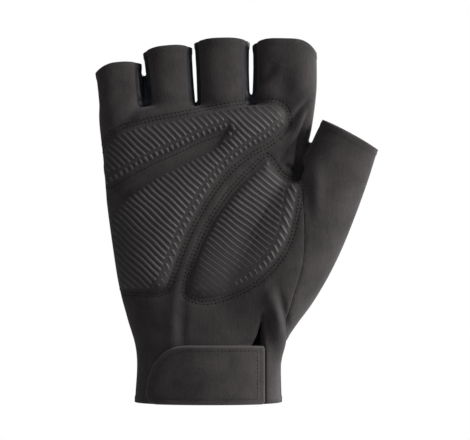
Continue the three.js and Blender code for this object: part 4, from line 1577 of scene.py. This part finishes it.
def studio_floor(height):
    """A white floor that curves up into a wall behind the glove, and lights it only a little."""
    front, behind, radius, rise, half_width = -4.0, 3.0, 1.5, 7, 7.0
    profile = [(front, height), (behind, height)]
    profile += [
        (behind + radius * math.sin(a), height + radius - radius * math.cos(a))
        for a in np.linspace(0.1, math.pi / 2, 14)
    ]
    profile.append((behind + radius, height + rise))
    points = [(x, y, z) for y, z in profile for x in (-half_width, half_width)]
    quads = [(2 * i, 2 * i + 1, 2 * i + 3, 2 * i + 2) for i in range(len(profile) - 1)]
    mesh = bpy.data.meshes.new("studio_floor")
    mesh.from_pydata(points, [], quads)
    mesh.shade_smooth()

    pale = bpy.data.materials.new("studio_pale")
    node, _ = emptied(pale)
    ray = node("ShaderNodeLightPath").outputs["Is Camera Ray"]
    seen = node("ShaderNodeEmission", {"Color": (1, 1, 1, 1), "Strength": 1.0})
    cast = node("ShaderNodeBsdfDiffuse", {"Color": (0.35, 0.35, 0.35, 1)})
    both = node("ShaderNodeMixShader", {0: ray, 1: cast, 2: seen})
    node("ShaderNodeOutputMaterial", {"Surface": both})
    mesh.materials.append(pale)
    return in_scene("studio_floor", mesh)


def studio_sky():
    """A white world that shows fully and lights the glove softly."""
    world = bpy.data.worlds.new("studio")
    node, _ = emptied(world)
    ray = node("ShaderNodeLightPath").outputs["Is Camera Ray"]
    strength = node("ShaderNodeMapRange", {"Value": ray, "To Min": 0.25, "To Max": 1.0})
    sky = node("ShaderNodeBackground", {"Color": (1, 1, 1, 1), "Strength": strength})
    node("ShaderNodeOutputWorld", {"Surface": sky})
    return world


# The studio's soft lamps: their places from the glove's middle, sizes in metres and watts.
LAMPS = (
    ("key", (1.3, -0.6, 0.7), 0.6, 40),
    ("rim", (1.2, 0.2, 0.1), 0.7, 12),
    ("fill", (-0.7, -1.3, 0.3), 1.0, 3),
    ("back", (0.9, 1.2, 0.8), 0.8, 18),
)


class GLOVE_OT_stage(Operator):
    """Set up the pale studio, its soft lights and the camera facing the palm"""

    bl_idname = "glove.stage"
    bl_label = "Set Up Studio"

    def execute(self, context):
        floor_drop, distance, sensor = 0.25, 1.2, 36
        scene = context.scene
        low, high = FRAME_BOX
        middle = (Vector(low) + Vector(high)) / 2
        studio_floor(low[2] - floor_drop)
        scene.world = studio_sky()
        scene.view_settings.view_transform = "Standard"

        for name, place, size, watts in LAMPS:
            lamp = bpy.data.lights.new(name, "AREA")
            lamp.energy = watts
            lamp.size = size
            made = in_scene(name, lamp)
            made.location = middle + Vector(place)
            made.rotation_euler = (-Vector(place)).to_track_quat("-Z", "Y").to_euler()

        lens = bpy.data.cameras.new("camera")
        lens.sensor_width = sensor
        lens.lens = sensor * distance / scene.glove_sizes.view_width
        scene.camera = in_scene("camera", lens)
        scene.camera.location = middle + Vector((0, -distance, 0))
        scene.camera.rotation_euler = (math.pi / 2, 0, 0)
        return {"FINISHED"}


def length(name, description, millimetres):
    """A length that a user can change, by default so many millimetres."""
    return FloatProperty(
        name=name, description=description, default=millimetres * MM,
        subtype="DISTANCE", unit="LENGTH", precision=4,
    )


def angle(name, description, degrees):
    """An angle that a user can change, by default so many degrees."""
    return FloatProperty(
        name=name, description=description, default=math.radians(degrees), subtype="ANGLE"
    )


def colour(name, description, default):
    """A colour that a user can change."""
    return FloatVectorProperty(
        name=name, description=description, default=default, subtype="COLOR", size=3, min=0, max=1
    )


class GloveSizes(PropertyGroup):
    """The sizes that the glove is cut and sewn to."""

    palm_width: length("Palm Width", "Across the knuckles", 95)
    palm_height: length("Palm Height", "From the wrist's edge to the fork of the fingers", 133)
    hand_depth: length("Hand Depth", "What the depths of the sections are shares of", 34)
    finger_length: length("Finger Length", "The middle finger's, from the fork", 28)
    thumb_length: length("Thumb Length", "From the wrist's middle along the thumb", 107.6)
    thumb_forward: length("Thumb Forward", "How far the thumb's end lies towards the palm", 7)
    thumb_lean: angle("Thumb Lean", "From upright", 28.5)
    wall: length("Fabric", "Thickness of the fabric", 1.2)
    hem_dip: length("Hem Dip", "How far a finger's hem dips at its sides", 3.6)
    thumb_hem_dip: length("Thumb Hem Dip", "How far the thumb's hem dips at its sides", 0.5)
    gusset_width: length("Gusset Width", "Of the strips between the fingers", 11.5)
    gusset_loop: length("Gusset Loop", "Radius of a strip's loop on the back", 4.6)
    gusset_drop: length("Gusset Drop", "How far a loop reaches below the fork", 7)
    pad_height: length("Pad Height", "How far the pads stand up", 2.5)
    tab_thickness: length("Tab Thickness", "Of the closing tab", 2)
    tab_length: length("Tab Length", "From the slit to the rounded end", 49.5)
    tab_width: length("Tab Width", "Up the wrist", 25)
    cuff_margin: length("Cuff Margin", "From the wrist's edge to the tab", 0.3)
    slit_x: length("Slit Place", "From the middle towards the thumb", 23.8)
    slit_height: length("Slit Height", "From the wrist's edge", 39)
    slit_spread: length("Slit Spread", "How far the slit stands open", 4.6)
    rib_pitch: length("Rib Pitch", "From rib to rib of the print", 2.3)
    rib_width: length("Rib Thickness", "Of the round rib, mostly sunk in the pad", 1.9)
    rib_angle: angle("Rib Angle", "Down from level", 43)
    dash_pitch: length("Dash Pitch", "From dash to dash beside the ribs", 2.5)
    dash_angle: angle("Dash Angle", "Down from level", 60)
    dash_length: length("Dash Length", "Of the short dashes beside the ribs", 2.9)
    stitch_pitch: length("Stitch Pitch", "From stitch to stitch", 1.7)
    stitch_length: length("Stitch Length", "Of one stitch", 1.15)
    stitch_width: length("Stitch Width", "Of the thread", 0.62)
    cloth_step: length("Fabric Mesh", "Size of the fabric's mesh cells", 0.8)
    pad_step: length("Pad Mesh", "Size of the pads' mesh cells", 0.6)
    view_width: length("View Width", "What the camera takes in across", 208)


class GloveColours(PropertyGroup):
    """The colours of the glove's materials."""

    suede: colour("Suede", "Synthetic suede of the palm, thumb and tab", (0.0288, 0.0249, 0.0253))
    knit: colour("Knit", "Stretch knit of the back and gussets", (0.0088, 0.0095, 0.0158))
    pad: colour("Pads", "Cover of the pads", (0.0275, 0.0245, 0.0246))
    grip: colour("Print", "Raised print on the pads", (0.049, 0.0452, 0.0452))
    thread: colour("Thread", "Sewing thread", (0.0068, 0.0062, 0.0065))


PIECES = (GLOVE_OT_palm, GLOVE_OT_back, GLOVE_OT_thumb, GLOVE_OT_gussets, GLOVE_OT_pads, GLOVE_OT_tab)
STEPS = (*PIECES, GLOVE_OT_stitches, GLOVE_OT_stage)


class GLOVE_PT_panel(Panel):
    """Sizes, colours and the steps that make the glove"""

    bl_idname = "GLOVE_PT_panel"
    bl_label = "Cycling Glove"
    bl_space_type = "VIEW_3D"
    bl_region_type = "UI"
    bl_category = "Glove"

    def draw(self, context):
        for group in (context.scene.glove_sizes, context.scene.glove_colours):
            for name in group.__annotations__:
                self.layout.prop(group, name)
        for step in STEPS:
            self.layout.operator(step.bl_idname)


CLASSES = (GloveSizes, GloveColours, *STEPS, GLOVE_PT_panel)


def register():
    for cls in CLASSES:
        bpy.utils.register_class(cls)
    bpy.types.Scene.glove_sizes = PointerProperty(type=GloveSizes)
    bpy.types.Scene.glove_colours = PointerProperty(type=GloveColours)


def unregister():
    del bpy.types.Scene.glove_colours
    del bpy.types.Scene.glove_sizes
    for cls in reversed(CLASSES):
        bpy.utils.unregister_class(cls)


def main():
    register()
    for step in STEPS:
        category, name = step.bl_idname.split(".")
        getattr(getattr(bpy.ops, category), name)()


if __name__ == "__main__":
    main()
